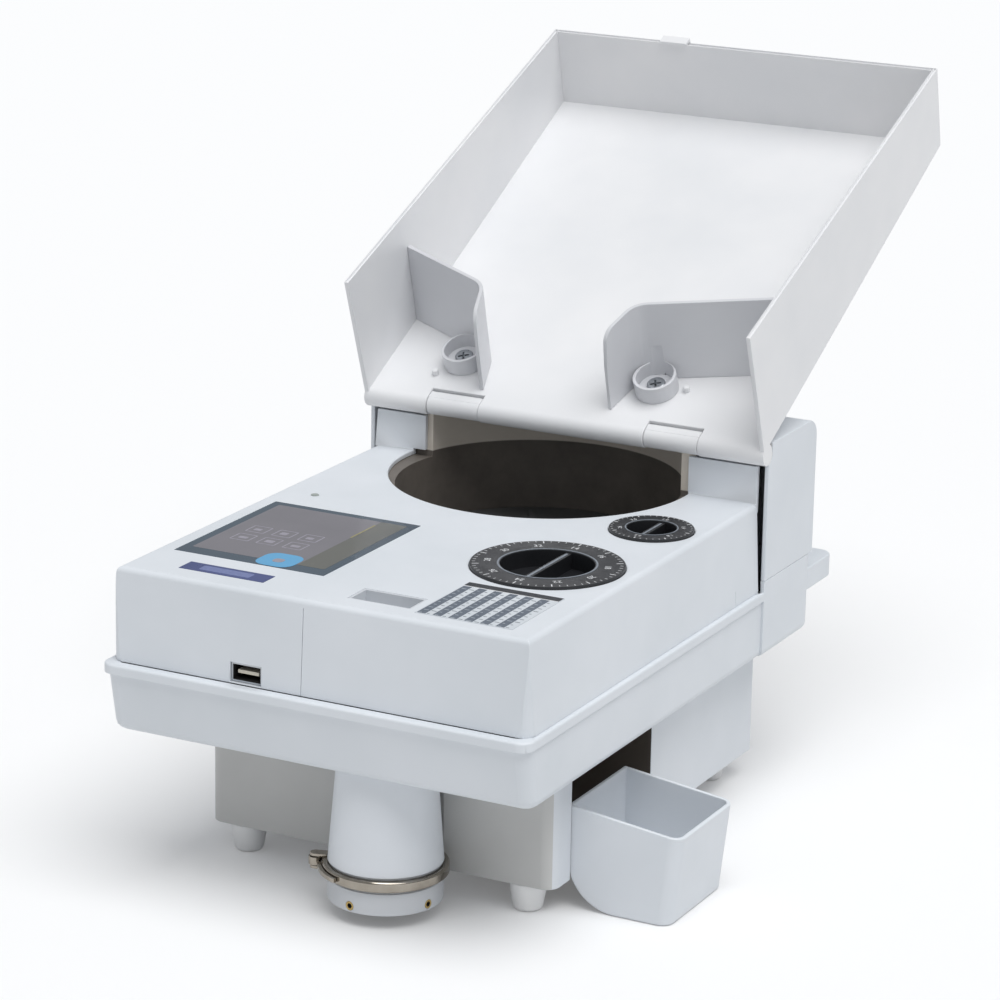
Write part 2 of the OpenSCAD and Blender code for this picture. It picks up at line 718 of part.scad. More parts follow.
module top_cover() color(shell_grey) difference() {
    union() {
        difference() {
            cover_body(0);
            cover_body(wall);
        }
        box([-half_cover + 0.5, half_cover - 0.5], [riser_front - wall, riser_front],
            [panel_under - 3, panel_z]);
        box([-half_cover + 0.5, half_cover - 0.5], [riser_front, riser_back], [panel_under - 3, riser_z]);
        dial_collar(big_dial_x, -big_dial_y, big_cup_r);
        dial_collar(small_dial_x, small_dial_y, small_cup_r);
        for (p = cover_bolts()) translate(p) post(5, [rim_z, panel_under + 1]);
    }
    at_mouth() post(mouth_r, [panel_under - 5, panel_z + 1]);
    at_mouth() post(mouth_r + mouth_lap + bowl_hole_gap, [panel_under - 5, panel_under]);
    box([riser_gap_x, riser_gap_end], [riser_front - cut, riser_back + cut],
        [panel_under, riser_z + cut]);
    at_bowl() post(bowl_out + bowl_hole_gap, [rim_z, panel_under]);
    dial_hole(big_dial_x, -big_dial_y, big_dial_r, big_cup_r);
    dial_hole(small_dial_x, small_dial_y, small_dial_r, small_cup_r);
    for (p = cover_bolts()) translate(p) post(1.9 + fix_gap, [rim_z - cut, rim_z + 13]);
    translate([display_x, -display_y]) {
        box([-display_w / 2, display_w / 2], [-display_l / 2, display_l / 2],
            [panel_z - lens_t, panel_z + cut]);
        box([-display_w / 2 + lens_border, display_w / 2 - lens_border],
            [-display_l / 2 + lens_border, display_l / 2 - lens_border], [panel_under - cut, panel_z]);
    }
    translate([strip_x, strip_y]) box([-strip_w / 2, strip_w / 2], [-strip_l / 2, strip_l / 2],
                                      [panel_z - trim_t, panel_z + cut]);
    translate([table_x, table_y]) box([-table_w / 2, table_w / 2], [-table_l / 2, table_l / 2],
                                      [panel_z - trim_t, panel_z + cut]);
    translate([led_x, led_y]) post(led_r + fix_gap, [panel_under - cut, panel_z + cut]);
    translate([pull_x, pull_y]) box([-pull_w / 2 - fix_gap, pull_w / 2 + fix_gap],
                                    [-pull_l / 2 - fix_gap, pull_l / 2 + fix_gap],
                                        [panel_under - cut, panel_z + cut]);
    box([socket_x - socket_w / 2, socket_x + socket_w / 2],
        [-cover_front - 3 * cut, -cover_front + 2 * wall],
        [rim_z + 0.6, rim_z + 0.6 + socket_h]);
}

cover_screw_l = 12;

module cover_screws() color(steel) for (p = cover_bolts()) translate(p) {
    post(4, [rim_z - rim_bead - 2.6, rim_z - rim_bead]);
    post(1.9, [rim_z - rim_bead - 1, rim_z + cover_screw_l]);
}

module housing_profile(in) {
    r = housing_round - in;
    translate([housing_front, seam_z]) square([housing_rear - in - housing_front,
        housing_z - in - r - seam_z]);
    translate([housing_front, seam_z]) square([housing_rear - in - r - housing_front,
        housing_z - in - seam_z]);
    translate([housing_rear - in - r, housing_z - in - r]) circle(r = r);
}

module rear_housing() color(shell_grey) difference() {
    union() {
        difference() {
            along_x(rim_w) housing_profile(0);
            difference() {
                along_x(rim_w - 2 * wall) translate([-cut, -cut]) {
                    housing_profile(wall);
                    translate([cut, 0]) housing_profile(wall);
                    translate([cut, cut]) housing_profile(wall);
                    translate([0, cut]) housing_profile(wall);
                }
                box([-half_w, half_w], [housing_lip_y, housing_lip_y + header_t],
                    [housing_z - header_h, housing_z]);
            }
            translate([0, hinge_y, hinge_z]) rod_x(lip_r + lip_clear, [-half_w - cut, half_w + cut]);
            box([-half_w - cut, half_w + cut], [hinge_y - lip_r, housing_lip_y],
                [hinge_z, housing_z + cut]);
        }
        for (s = [-1, 1]) translate([s * stop_wedge_x, 0, 0]) along_x(stop_wedge_w) polygon([
            [housing_lip_y + 1, housing_z - 1], [stop_wedge_y, housing_z - 1],
            [stop_wedge_y, floor_under(stop_wedge_y)],
                [housing_lip_y + 1, floor_under(housing_lip_y + 1)]]);
        for (s = [-1, 1]) translate([s * knuckle_x, hinge_y, hinge_z]) {
            rod_x(lip_r - 0.5, [-knuckle_w / 2, knuckle_w / 2]);
            box([-knuckle_w / 2, knuckle_w / 2], [0, lip_r + lip_clear + header_t], [-lip_r + 0.5, 0]);
        }
    }
    for (s = [-1, 1]) translate([s * knuckle_x, hinge_y, hinge_z])
        rod_x(hinge_pin_r + fix_gap, [-knuckle_w / 2 - cut, knuckle_w / 2 + cut]);
    box([inlet_x - inlet_w / 2, inlet_x + inlet_w / 2], [housing_rear - wall - cut, housing_rear + cut],
        [inlet_z - inlet_h / 2, inlet_z + inlet_h / 2]);
    box([rocker_x - rocker_w / 2, rocker_x + rocker_w / 2],
        [housing_rear - wall - cut, housing_rear + cut],
        [inlet_z - rocker_h / 2, inlet_z + rocker_h / 2]);
}

module hinge_pins() color(steel) for (s = [-1, 1]) translate([s * knuckle_x, hinge_y, hinge_z])
    rod_x(hinge_pin_r, [-knuckle_w / 2 - hinge_pin_reach, knuckle_w / 2 + hinge_pin_reach]);

// Bowl, disc and drive

module at_bowl() translate([bowl_x, bowl_y]) children();

module at_mouth() translate([mouth_x, mouth_y]) children();

// Shoulder of the bowl under the panel's opening, and the flat wall on each side of the riser's gap
module bowl_rim() {
    intersection() {
        at_mouth() post(mouth_r + mouth_lap, [bowl_rim_z, bowl_top]);
        box([-rim_w, rim_w], [-rim_w, shroud_front + bowl_wall], [bowl_rim_z, bowl_top]);
    }
    box([riser_gap_x - mouth_lap, riser_gap_end + mouth_lap], [shroud_front, shroud_front + bowl_wall],
        [bowl_rim_z, shroud_z]);
}

module hopper_bowl() color(part_grey) difference() {
    union() {
        difference() {
            at_bowl() post(bowl_out, [bowl_foot_z, shroud_z]);
            box([-rim_w, rim_w], [-rim_w, shroud_front], [bowl_top, riser_z + 2 * cut]);
        }
        bowl_rim();
        at_bowl() for (a = bowl_leg_angles) rotate(a) translate([bowl_leg_at, 0])
            post(bowl_leg_r, [chassis_top, bowl_foot_z + 12]);
    }
    at_bowl() post(bowl_r, [bowl_foot_z - cut, shroud_z + cut]);
    at_bowl() rotate(-52) box([0, bowl_out + cut], [0, 62], [rail_z - 1, rail_z + 7]);
}

module feed_disc() color(rubber) at_bowl() difference() {
    union() {
        post(disc_r, [disc_z - disc_t, disc_z]);
        post(disc_hub_r, [hub_z, disc_z - disc_t + 1]);
        for (a = [0 : 60 : 300]) rotate(a) box([cap_r + 12, disc_r - 8], [-2, 2],
            [disc_z - 1, disc_z + 1.5]);
    }
    post(shaft_r + fix_gap, [hub_z - cut, disc_z + cut]);
}

module disc_cap() color(steel) at_bowl() difference() {
    rotate_extrude() polygon([[0, disc_z], [cap_r, disc_z], [cap_r, disc_z + 2],
        [cap_r * 0.4, disc_z + cap_h],
                              [0, disc_z + cap_h]]);
    post(shaft_r + fix_gap, [disc_z - cut, disc_z + 4]);
}

module disc_shaft() color(steel) at_bowl() post(shaft_r, [shaft_low, disc_z + 3]);

module bearing_housing() color(steel) at_bowl() difference() {
    union() {
        post(bearing_case_r, [case_low, case_top]);
        post(bearing_case_r + bearing_flange, [chassis_top, chassis_top + 4]);
    }
    post(bearing_r - 2, [case_low - cut, case_top + cut]);
    post(bearing_r + fix_gap, [case_low - cut, case_low + bearing_w + 1]);
    post(bearing_r + fix_gap, [case_top - bearing_w - 1, case_top + cut]);
}

module disc_bearings() color(steel) at_bowl() {
    tube(bearing_r, shaft_r + run_gap, [case_low + 1, case_low + 1 + bearing_w]);
    tube(bearing_r, shaft_r + run_gap, [case_top - 1 - bearing_w, case_top - 1]);
}

module grooved_pulley(r, bore, w) difference() {
    union() {
        cylinder(r = r, h = w);
        cylinder(r = r + 3, h = (w - belt_w) / 2 - 0.2);
        translate([0, 0, w - (w - belt_w) / 2 + 0.2]) cylinder(r = r + 3, h = (w - belt_w) / 2 - 0.2);
    }
    if (bore > 0) translate([0, 0, -cut]) cylinder(r = bore, h = w + 2 * cut);
}

module disc_pulley() color(part_grey) at_bowl() translate([0, 0, pulley_z])
    grooved_pulley(disc_pulley_r, shaft_r + fix_gap, pulley_w);

module motor_pulley() color(brass) translate([motor_x, motor_y]) {
    translate([0, 0, pulley_z]) grooved_pulley(motor_pulley_r, 0, pulley_w);
    post(4, [motor_top - 20, pulley_z + 1]);
}

module drive_belt() color(rubber) translate([0, 0, belt_z]) linear_extrude(belt_w) difference() {
    pulley_loop([bowl_x, bowl_y], disc_pulley_r + run_gap + belt_t, [motor_x, motor_y],
        motor_pulley_r + run_gap + belt_t);
    pulley_loop([bowl_x, bowl_y], disc_pulley_r + run_gap, [motor_x, motor_y], motor_pulley_r + run_gap);
}

motor_boss_r = 11;
motor_bore = 21;

module drive_motor() color(steel) translate([motor_x, motor_y]) difference() {
    union() {
        post(motor_r, [motor_top - motor_plate_t - motor_h, motor_top - motor_plate_t]);
        post(motor_boss_r, [motor_top - motor_plate_t - 1, motor_top]);
    }
    post(4 + run_gap, [motor_top - motor_bore, motor_top + cut]);
}

module motor_plate() color(steel) {
    difference() {
        union() {
            translate([motor_x, motor_y]) box([-motor_plate_half, motor_plate_half],
                [-motor_plate_half, motor_plate_half],
                                              [motor_top - motor_plate_t, motor_top]);
            for (p = standoffs()) translate(p) post(standoff_r, [motor_top - 1, chassis_z]);
        }
        translate([motor_x, motor_y]) post(11 + fix_gap,
            [motor_top - 2 * motor_plate_t, motor_top + cut]);
    }
}

module chassis_plate() color(steel) difference() {
    box([-band_half + wall + 4, band_half - wall - 4], [-chassis_front, chassis_rear],
        [chassis_z, chassis_top]);
    at_bowl() post(bearing_case_r + fix_gap, [chassis_z - cut, chassis_top + cut]);
    chute_void(0.5, [chassis_z - cut, chassis_top + cut]);
    box([funnel_x0 - 0.5, funnel_x1 + 0.5], [-chassis_front - cut, -rail_front - 0.4],
        [chassis_z - cut, chassis_top + cut]);
    for (p = chassis_bolts()) translate(p) post(2 + fix_gap, [chassis_z - cut, chassis_top + cut]);
}

module chassis_screws() color(steel) for (p = chassis_bolts()) translate(p) {
    post(4, [chassis_top, chassis_top + 2.6]);
    post(2, [chassis_top - 8, chassis_top + 1]);
}

// Coin path

funnel_x0 = spout_x - stub_bore - 4.3;
funnel_x1 = fence_x + 38;
funnel_top = rail_under - 0.4;
funnel_wall = 2;
chute_lip = 0.7;
chute_bore = spout_r - spout_wall - chute_lip;
funnel_y0 = -spout_y - 31;
funnel_y1 = -rail_front - 1;

module chute_void(grow, z) box([chute_x0 - grow, chute_x1 + grow],
                               span(-big_dial_y, chute_half + grow), z);

module coin_rail() color(steel) difference() {
    union() {
        box([rail_x0, rail_x1], [-rail_front, rail_rear], [rail_under, rail_z]);
        box([rail_x0, fence_x], [-rail_front, -roller_rear + 10], [rail_z - 1, rail_z + 6]);
        for (p = [[rail_post_x, rail_post_y], [rail_x1 - 6, rail_rear - 20],
                  [rail_post_x, -rail_front + 6], [rail_x1 - 6, -rail_front + 6]])
            translate(p) post(rail_post_r, [chassis_top, rail_under + 1]);
        for (s = [-1, 1]) box([small_dial_x + 9, small_dial_x + 15],
                              span(small_dial_y + s * (tongue_half + move_gap + 2), 2),
                                  [rail_z - 1, cup_under - 12]);
    }
    at_bowl() post(bowl_out + 0.5, [rail_under - cut, rail_z + 8]);
    box([fence_x + 3, fence_x + 3 + gate_reject_w], span(-big_dial_y, gate_reject_l / 2),
        [rail_under - cut, rail_z + cut]);
    translate([stop_x, stop_y]) post(stop_pin_r + 0.4, [rail_under - cut, rail_z + cut]);
}

module reject_chute() color(part_grey) difference() {
    chute_void(0, [recess_z + wall, rail_under]);
    chute_void(-2, [recess_z + wall - cut, rail_under + cut]);
}

module coin_chute() color(part_grey) difference() {
    box([funnel_x0, funnel_x1], [funnel_y0, funnel_y1], [shelf_z + flange_t, funnel_top]);
    translate([0, (funnel_y0 + funnel_y1) / 2, 0]) along_y(funnel_y1 - funnel_y0 - 2 * funnel_wall)
        polygon([
        [funnel_x0 + funnel_wall, funnel_top + cut], [funnel_x0 + funnel_wall, shelf_z + flange_t + 8],
        [spout_x + chute_bore - chute_lip, shelf_z + flange_t + 3],
            [funnel_x1 - funnel_wall, funnel_top - 8],
        [funnel_x1 - funnel_wall, funnel_top + cut]]);
    at_spout() post(chute_bore, [shelf_z, funnel_top]);
}

module coin_sensor() color(rubber) box([fence_x + 2, fence_x + 28],
                                       span(-big_dial_y + chute_half + sensor_half + 3, sensor_half),
                                           [rail_under - 11, rail_under]);

module stop_solenoid() color(brass) translate([stop_x, stop_y]) difference() {
    post(5.5, [rail_under - 19, rail_under]);
    post(stop_pin_r + run_gap, [rail_under - 16, rail_under + cut]);
}

module stop_pin() color(steel) translate([stop_x, stop_y])
    post(stop_pin_r, [rail_under - 14, rail_z - 0.3]);

module roller_at(y) translate([0, -y, roller_z]) children();

module transport_frame() color(steel) difference() {
    union() {
        box([frame_x0, frame_x1], [-rail_front + 2, -roller_rear + 10], [chassis_top, roller_z + 5]);
        box([frame_x0 - 12, frame_x0 + 1], [-rail_front + 2, -roller_rear + 10],
            [chassis_top, chassis_top + 2.5]);
        roller_at(roller_rear) rod_x(roller_axle_r, [frame_x1 - 1, roller_x + roller_w / 2 + 2]);
    }
    roller_at(roller_front) rod_x(roller_axle_r + run_gap, [frame_x0 - cut, frame_x1 + cut]);
}

module transport_motor() color(steel) roller_at(roller_front) difference() {
    rod_x(11, [frame_x0 - 34, frame_x0]);
    rod_x(roller_axle_r + run_gap, [frame_x0 - 14, frame_x0 + cut]);
}

module transport_pulley() color(brass) roller_at(roller_front) {
    rod_x(roller_r, [roller_x - roller_w / 2 - 1, roller_x + roller_w / 2 + 1]);
    rod_x(roller_axle_r, [frame_x0 - 12, roller_x]);
}

module idler_pulley() color(brass) roller_at(roller_rear) difference() {
    rod_x(roller_r, [roller_x - roller_w / 2 - 1, roller_x + roller_w / 2 + 1]);
    rod_x(roller_axle_r + run_gap, [roller_x - roller_w, roller_x + roller_w]);
}

module transport_belt() color(rubber) translate([roller_x, 0, 0]) along_x(roller_w) difference() {
    pulley_loop([-roller_front, roller_z], roller_r + run_gap + roller_belt_t, [-roller_rear, roller_z],
        roller_r + run_gap + roller_belt_t);
    pulley_loop([-roller_front, roller_z], roller_r + run_gap, [-roller_rear, roller_z],
        roller_r + run_gap);
}

// Dials and gates

// One dial: a flange in the panel, a cup with a grip bar, and a stem
module dial(r, cup_r, stem_r, stem_z) {
    difference() {
        union() {
            post(r, [panel_z - dial_sink + move_gap, panel_z + dial_rise]);
            post(cup_r + cup_wall, [cup_under, panel_z]);
        }
        post(cup_r, [cup_floor, panel_z + dial_rise + cut]);
    }
    box([-2.2, 2.2], [-cup_r - 0.5, cup_r + 0.5], [cup_floor - 1, panel_z + dial_rise - 1]);
    post(stem_r, [stem_z, cup_under + 1]);
}

module at_big_dial() translate([big_dial_x, -big_dial_y]) children();

module at_small_dial() translate([small_dial_x, small_dial_y]) children();

module diameter_dial() color(dial_black) at_big_dial() dial(big_dial_r, big_cup_r, 3, pinion_z);

module tooth(add, ded, t) polygon([[-t / 2 - 0.36 * ded, -ded - tooth_sink], [-t / 2 - 0.36 * ded, -ded],
                                   [-t / 2 + 0.36 * add, add], [t / 2 - 0.36 * add, add],
                                   [t / 2 + 0.36 * ded, -ded], [t / 2 + 0.36 * ded, -ded - tooth_sink]]);

module dial_pinion() color(brass) at_big_dial() translate([0, 0, pinion_z]) difference() {
    union() {
        cylinder(r = pitch_r - tooth_ded, h = pinion_h);
        linear_extrude(pinion_h) for (i = [0 : pinion_teeth - 1]) rotate(i * 360 / pinion_teeth)
            translate([0, -pitch_r]) rotate(180) tooth(tooth_add * 0.8, tooth_ded,
                PI * tooth_module / 2 - 2 * tooth_play);
    }
    translate([0, 0, -cut]) cylinder(r = 3 + fix_gap, h = pinion_h + 2 * cut);
}

module diameter_gate() color(steel) {
    box([gate_edge, gate_edge + gate_w], span(-big_dial_y, gate_l / 2),
        [gate_base, gate_base + gate_plate_t]);
    box([gate_edge + gate_arm_x0, gate_edge + gate_arm_x1], [rack_root - rack_body, rack_root],
        [gate_base + 1, pinion_top - 0.5]);
    box(span(big_dial_x, rack_half), [rack_root - rack_body, rack_root],
        [pinion_z + 0.5, pinion_top - 0.5]);
    translate([big_dial_x, rack_y, pinion_z + 0.5]) linear_extrude(pinion_h - 1)
        for (i = [-5 : 4]) translate([(i + 0.5) * PI * tooth_module, 0])
            tooth(tooth_add * 0.8, tooth_ded, PI * tooth_module / 2 - 2 * tooth_play);
}

module thickness_dial() color(dial_black) at_small_dial()
    dial(small_dial_r, small_cup_r, screw_r, rail_z + 6);

module thickness_gate() color(steel) at_small_dial() difference() {
    union() {
        box([-9, 8], [-7, 7], [rail_z + 9, cup_under - 10]);
        box([-small_dial_x + fence_x + 5, -8], [-5, 5], [rail_z + coin_gap, rail_z + 14]);
        box([7, 14], [-tongue_half, tongue_half], [rail_z + 9, cup_under - 14]);
    }
    post(screw_r + run_gap, [rail_z, cup_under]);
}

// Panel pieces

module display_lens() color([0.20, 0.23, 0.27]) translate([display_x, -display_y])
    box([-display_w / 2 + fix_gap, display_w / 2 - fix_gap],
        [-display_l / 2 + fix_gap, display_l / 2 - fix_gap],
        [panel_z - lens_t, panel_z]);

module display_module() color(part_grey) translate([display_x, -display_y]) {
    box([-display_w / 2 + lens_border + 0.3, display_w / 2 - lens_border - 0.3],
        [-display_l / 2 + lens_border + 0.3, display_l / 2 - lens_border - 0.3],
            [panel_under - 6, panel_z - lens_t]);
    box([-display_w / 2, display_w / 2], [-display_l / 2, display_l / 2], [panel_under - 6, panel_under]);
}

board_over = 16;
board_drop = 12;
board_t = 1.6;

module control_board() color(board_green) translate([display_x, -display_y]) {
    box([-display_w / 2, display_w / 2], [-display_l / 2 - board_over, display_l / 2 + board_over],
        [panel_under - board_drop, panel_under - board_drop + board_t]);
    for (s = [-1, 1], t = [-1, 1]) translate([s * (display_w / 2 - 6), t * (display_l / 2 - 6)])
        post(3, [panel_under - 11, panel_under - 6]);
    box([-20, 20], [-26, 6], [panel_under - 15, panel_under - 11]);
}

module status_lens() color([0.75, 0.80, 0.78]) translate([led_x, led_y]) {
    post(led_r, [panel_under - 1, panel_z + 0.4]);
    post(led_r + 1.2, [panel_under - 4, panel_under]);
}

module accent_strip() color([0.20, 0.25, 0.45]) translate([strip_x, strip_y])
    box([-strip_w / 2 + fix_gap, strip_w / 2 - fix_gap], [-strip_l / 2 + fix_gap, strip_l / 2 - fix_gap],
        [panel_z - trim_t, panel_z + 0.1]);

module setting_table() color([0.45, 0.47, 0.50]) translate([table_x, table_y])
    box([-table_w / 2 + fix_gap, table_w / 2 - fix_gap], [-table_l / 2 + fix_gap, table_l / 2 - fix_gap],
        [panel_z - trim_t, panel_z + 0.1]);

module pull_recess() color(part_grey) translate([pull_x, pull_y]) difference() {
    union() {
        box([-pull_w / 2, pull_w / 2], [-pull_l / 2, pull_l / 2],
            [panel_z - pull_depth - 2, panel_z - 0.3]);
        box([-pull_w / 2 - 2, pull_w / 2 + 2], [-pull_l / 2 - 2, pull_l / 2 + 2],
            [panel_under - 2, panel_under]);
    }
    box([-pull_w / 2 + 1.6, pull_w / 2 - 1.6], [-pull_l / 2 + 1.6, pull_l / 2 - 1.6],
        [panel_z - pull_depth, panel_z + cut]);
}

module data_socket() color(steel) translate([socket_x, -cover_front + 1, rim_z + 0.6]) {
    difference() {
        box([-socket_w / 2 + 0.3, socket_w / 2 - 0.3], [-2, 16], [0.3, socket_h - 0.3]);
        box([-socket_w / 2 + 1.3, socket_w / 2 - 1.3], [-cut - 2, 14], [1.3, socket_h - 1.3]);
    }
    box([-socket_w / 2 + 3.5, socket_w / 2 - 3.5], [0, 15], [socket_h / 2 - 1, socket_h / 2 + 1]);
    box([-socket_w / 2 - 1.5, socket_w / 2 + 1.5], [2 * wall - 0.5, 2 * wall + 1.5],
        [socket_h - 0.31, socket_h + 3]);
}

// Power

module power_supply() color(steel) {
    box([recess_x - supply_reach, foot_x - foot_boss_r - 2],
        [-recess_rear + wall + 31, box_rear - wall - 4], [box_z + wall, box_z + wall + supply_h]);
}

module inlet_socket() color(rubber) translate([inlet_x, housing_rear, inlet_z]) difference() {
    union() {
        box([-inlet_w / 2 + 0.1, inlet_w / 2 - 0.1], [-inlet_depth, 0.5],
            [-inlet_h / 2 + 0.1, inlet_h / 2 - 0.1]);
        box([-inlet_w / 2 - 3, inlet_w / 2 + 3], [0, 2], [-inlet_h / 2 - 3, inlet_h / 2 + 3]);
    }
    box([-inlet_w / 2 + 2, inlet_w / 2 - 2], [-inlet_depth + 3, 2 + cut],
        [-inlet_h / 2 + 2, inlet_h / 2 - 2]);
}

module power_rocker() color(dial_black) translate([rocker_x, rocker_axis_y, inlet_z]) {
    rod_x(2.5, [-rocker_w / 2 + 0.4, rocker_w / 2 - 0.4]);
    box([-rocker_w / 2 + 0.4, rocker_w / 2 - 0.4], [-1, 3.5], [-rocker_h / 2 + 1.4, rocker_h / 2 - 1.4]);
}

// Outlet

module at_spout() translate([spout_x, -spout_y]) children();

module coin_spout() color(shell_grey) at_spout() difference() {
    rotate_extrude() polygon([
        [spout_r - spout_wall, shelf_z + flange_t], [flange_r, shelf_z + flange_t], [flange_r, shelf_z],
            [spout_r, shelf_z],
        [spout_r, band_z], [collar_r, ring_top + 1], [stub_r, ring_top + 1], [stub_r, collar_z + 4],
        [stub_bore, collar_z + 4], [stub_bore, ring_top + 4]]);
    for (a = collar_screw_at) rotate(a) translate([0, 0, collar_screw_z]) rotate([0, 90, 0])
        cylinder(r = 1.7 + fix_gap, h = collar_r + cut);
}

module bag_collar() color(part_grey) at_spout() difference() {
    rotate_extrude() polygon([
        [stub_r + fix_gap, collar_z], [collar_r, collar_z], [collar_r, shoulder_z],
            [ring_seat_r, shoulder_z],
        [ring_seat_r, ring_top + 0.8], [stub_r + fix_gap, ring_top + 0.8]]);
    for (a = collar_screw_at) rotate(a) translate([0, 0, collar_screw_z]) rotate([0, 90, 0]) {
        cylinder(r = 1.7 + fix_gap, h = collar_r + cut);
        translate([0, 0, collar_r - 1.6]) cylinder(r = collar_screw_head + 0.1, h = 1.6 + cut);
    }
}

module collar_screws() color(steel) at_spout() for (a = collar_screw_at) rotate(a)
    translate([0, 0, collar_screw_z]) rotate([0, 90, 0]) {
        translate([0, 0, collar_r - 1.6]) cylinder(r = collar_screw_head, h = 1.3);
        translate([0, 0, stub_bore + 0.4]) cylinder(r = 1.7, h = collar_r - 1.5 - stub_bore - 0.4);
    }

module clamp_ring() color(steel) at_spout() {
    rotate_extrude() polygon([
        [ring_in, ring_z + 0.3], [ring_out - 1, ring_z + 0.3], [ring_out, ring_z + 1.3],
        [ring_out, ring_top - 1.3], [ring_out - 1, ring_top - 0.3], [ring_in, ring_top - 0.3]]);
    rotate(lever_at) {
        for (z = [ear_z, ring_top - ear_lap]) difference() {
            union() {
                box([ring_in + 1, lever_r], [-3.4, 3.4], [z, z + ear_t]);
                translate([lever_r, 0]) post(3.4, [z, z + ear_t]);
            }
            post(collar_r + move_gap, [z - cut, z + ear_t + cut]);
        }
        translate([lever_r, 0]) post(lever_pin_r, [ear_z, ring_top - ear_lap + ear_t]);
    }
}

module clamp_lever() color(steel) at_spout() difference() {
    union() {
        rotate(lever_at) rotate_extrude(angle = lever_arc)
            translate([ring_out + move_gap, ring_z + ear_t + 0.3])
            square([lever_t, ring_h - 2 * ear_t - 0.6]);
        rotate(lever_at) translate([lever_r, 0]) post(lever_hub_r,
            [ring_z + ear_t - 0.8, ring_top - ear_t + 0.8]);
    }
    rotate(lever_at) translate([lever_r, 0]) post(lever_pin_r + run_gap, [ring_z - cut, ring_top + cut]);
}

// Reject bin

module bin_profile(in) intersection() {
    polygon([[-in, in], [bin_lean - in, bin_h_out + (in > 0 ? cut : 0)],
             [-bin_w + in, bin_h_in + (in > 0 ? cut : 0)], [-bin_w + in, in]]);
    union() {
        translate([-bin_w + bin_round, 0]) square([bin_w, bin_h_in + cut]);
        translate([-bin_w, bin_round]) square([2 * bin_w, bin_h_in + cut]);
        translate([-bin_w + bin_round, bin_round]) circle(r = bin_round - in);
    }
}

module reject_bin() color(shell_grey) translate([bin_x, -bin_front + bin_l / 2, 0]) difference() {
    along_y(bin_l) bin_profile(0);
    along_y(bin_l - 2 * bin_wall) bin_profile(bin_wall);
}

// Tray

module tray_side() polygon([[-floor_v, floor_v], [tray_front_lean, tray_front_h],
                            [tray_l + tray_back_lean, tray_back_h], [tray_l, floor_v]]);

module hopper_tray() color(tray_white) tray_frame() difference() {
    union() {
        rod_x(lip_r, [-half_w, half_w]);
        box([-half_w, half_w], [0, tray_l], [floor_v, lip_r]);
        for (s = [-1, 1]) translate([s * (half_w - tray_wall / 2), 0, 0]) along_x(tray_wall) tray_side();
        along_x(rim_w) polygon([[tray_l - tray_wall, floor_v], [tray_l, floor_v],
                                [tray_l + tray_back_lean, tray_back_h],
                                    [tray_l + tray_back_lean - tray_wall, tray_back_h]]);
    }
    for (s = [-1, 1]) translate([s * knuckle_x, 0, 0]) {
        box((knuckle_w / 2 + move_gap) * [-1, 1], [-2 * lip_r, lip_r + lip_clear],
            [-2 * lip_r, lip_r + cut]);
        rod_x(hinge_pin_r + run_gap, (knuckle_w / 2 + hinge_pin_reach + move_gap) * [-1, 1]);
    }
    for (p = guide_cups()) translate(p) post(2 + fix_gap, [floor_v - cut, lip_r + cut]);
}

// Path of a guide on the floor, from the tray's side wall s to its end by the lip
guide_wall_u = 70;
guide_turn_u = 44;
guide_end_u = 12;
guide_flare = 8;

function guide_path(s) = let (
    end = [guide_mid + s * guide_exit / 2, guide_end_u],
    turn = [end[0] + s * guide_flare, guide_turn_u],
    start = [s * (half_w - tray_wall - fix_gap), guide_wall_u],
    into = (turn - start) / norm(turn - start),
    out = (end - turn) / norm(end - turn),
    reach = guide_bend * tan(acos(into * out) / 2),
    a = turn - into * reach,
    b = turn + out * reach)
    concat([start], [for (i = [0 : 6]) let (k = i / 6) (1 - k) * (1 - k) * a + 2 * k * (1 - k) * turn
        + k * k * b], [end]);

function guide_cups() = [for (s = [-1, 1]) [guide_mid
    + s * (guide_exit / 2 + guide_flare + guide_cup_r + 1), guide_turn_u - 8]];

// Side view of a guide's wall: raked front edge, rounded upper corner, leaning back
module guide_side() {
    top = lip_r + guide_h;
    corner = [guide_end_u - guide_t + guide_rake + guide_round, top - guide_round];
    polygon(concat([[guide_end_u - guide_t, lip_r]],
                   [for (i = [0 : 8]) let (a = 180 - 90 * i / 8) corner + guide_round * [cos(a), sin(a)]],
                   [[guide_wall_u + 2 * guide_bend, top], [guide_wall_u + 2 * guide_bend, lip_r]]));
}

module guide_wall(s) multmatrix([[1, 0, 0, 0], [0, 1, guide_lean / guide_h,
    -lip_r * guide_lean / guide_h], [0, 0, 1, 0]])
    intersection() {
        translate([0, 0, lip_r]) linear_extrude(guide_h) polygon(stroke(guide_path(s), guide_t));
        along_x(rim_w) guide_side();
    }

module guide(s) tray_frame() {
    cup = guide_cups()[s < 0 ? 0 : 1];
    difference() {
        union() {
            guide_wall(s);
            translate(cup) tube(guide_cup_r, guide_cup_r - 2.2, [lip_r, lip_r + guide_cup_h]);
            translate(cup) post(guide_cup_r - 1, [lip_r, lip_r + 3]);
        }
        translate(cup) post(2 + fix_gap, [lip_r - cut, lip_r + guide_h]);
        box([s < 0 ? -half_w : half_w - tray_wall, s < 0 ? -half_w + tray_wall : half_w], [0, tray_l],
            [0, 2 * tray_front_h]);
    }
}

module left_guide() color(tray_white) guide(-1);

module right_guide() color(tray_white) guide(1);

module guide_screws() color(steel) tray_frame() for (p = guide_cups()) translate(p) {
    post(6, [lip_r + 3, lip_r + 6]);
    post(2, [floor_v, lip_r + 4]);
}

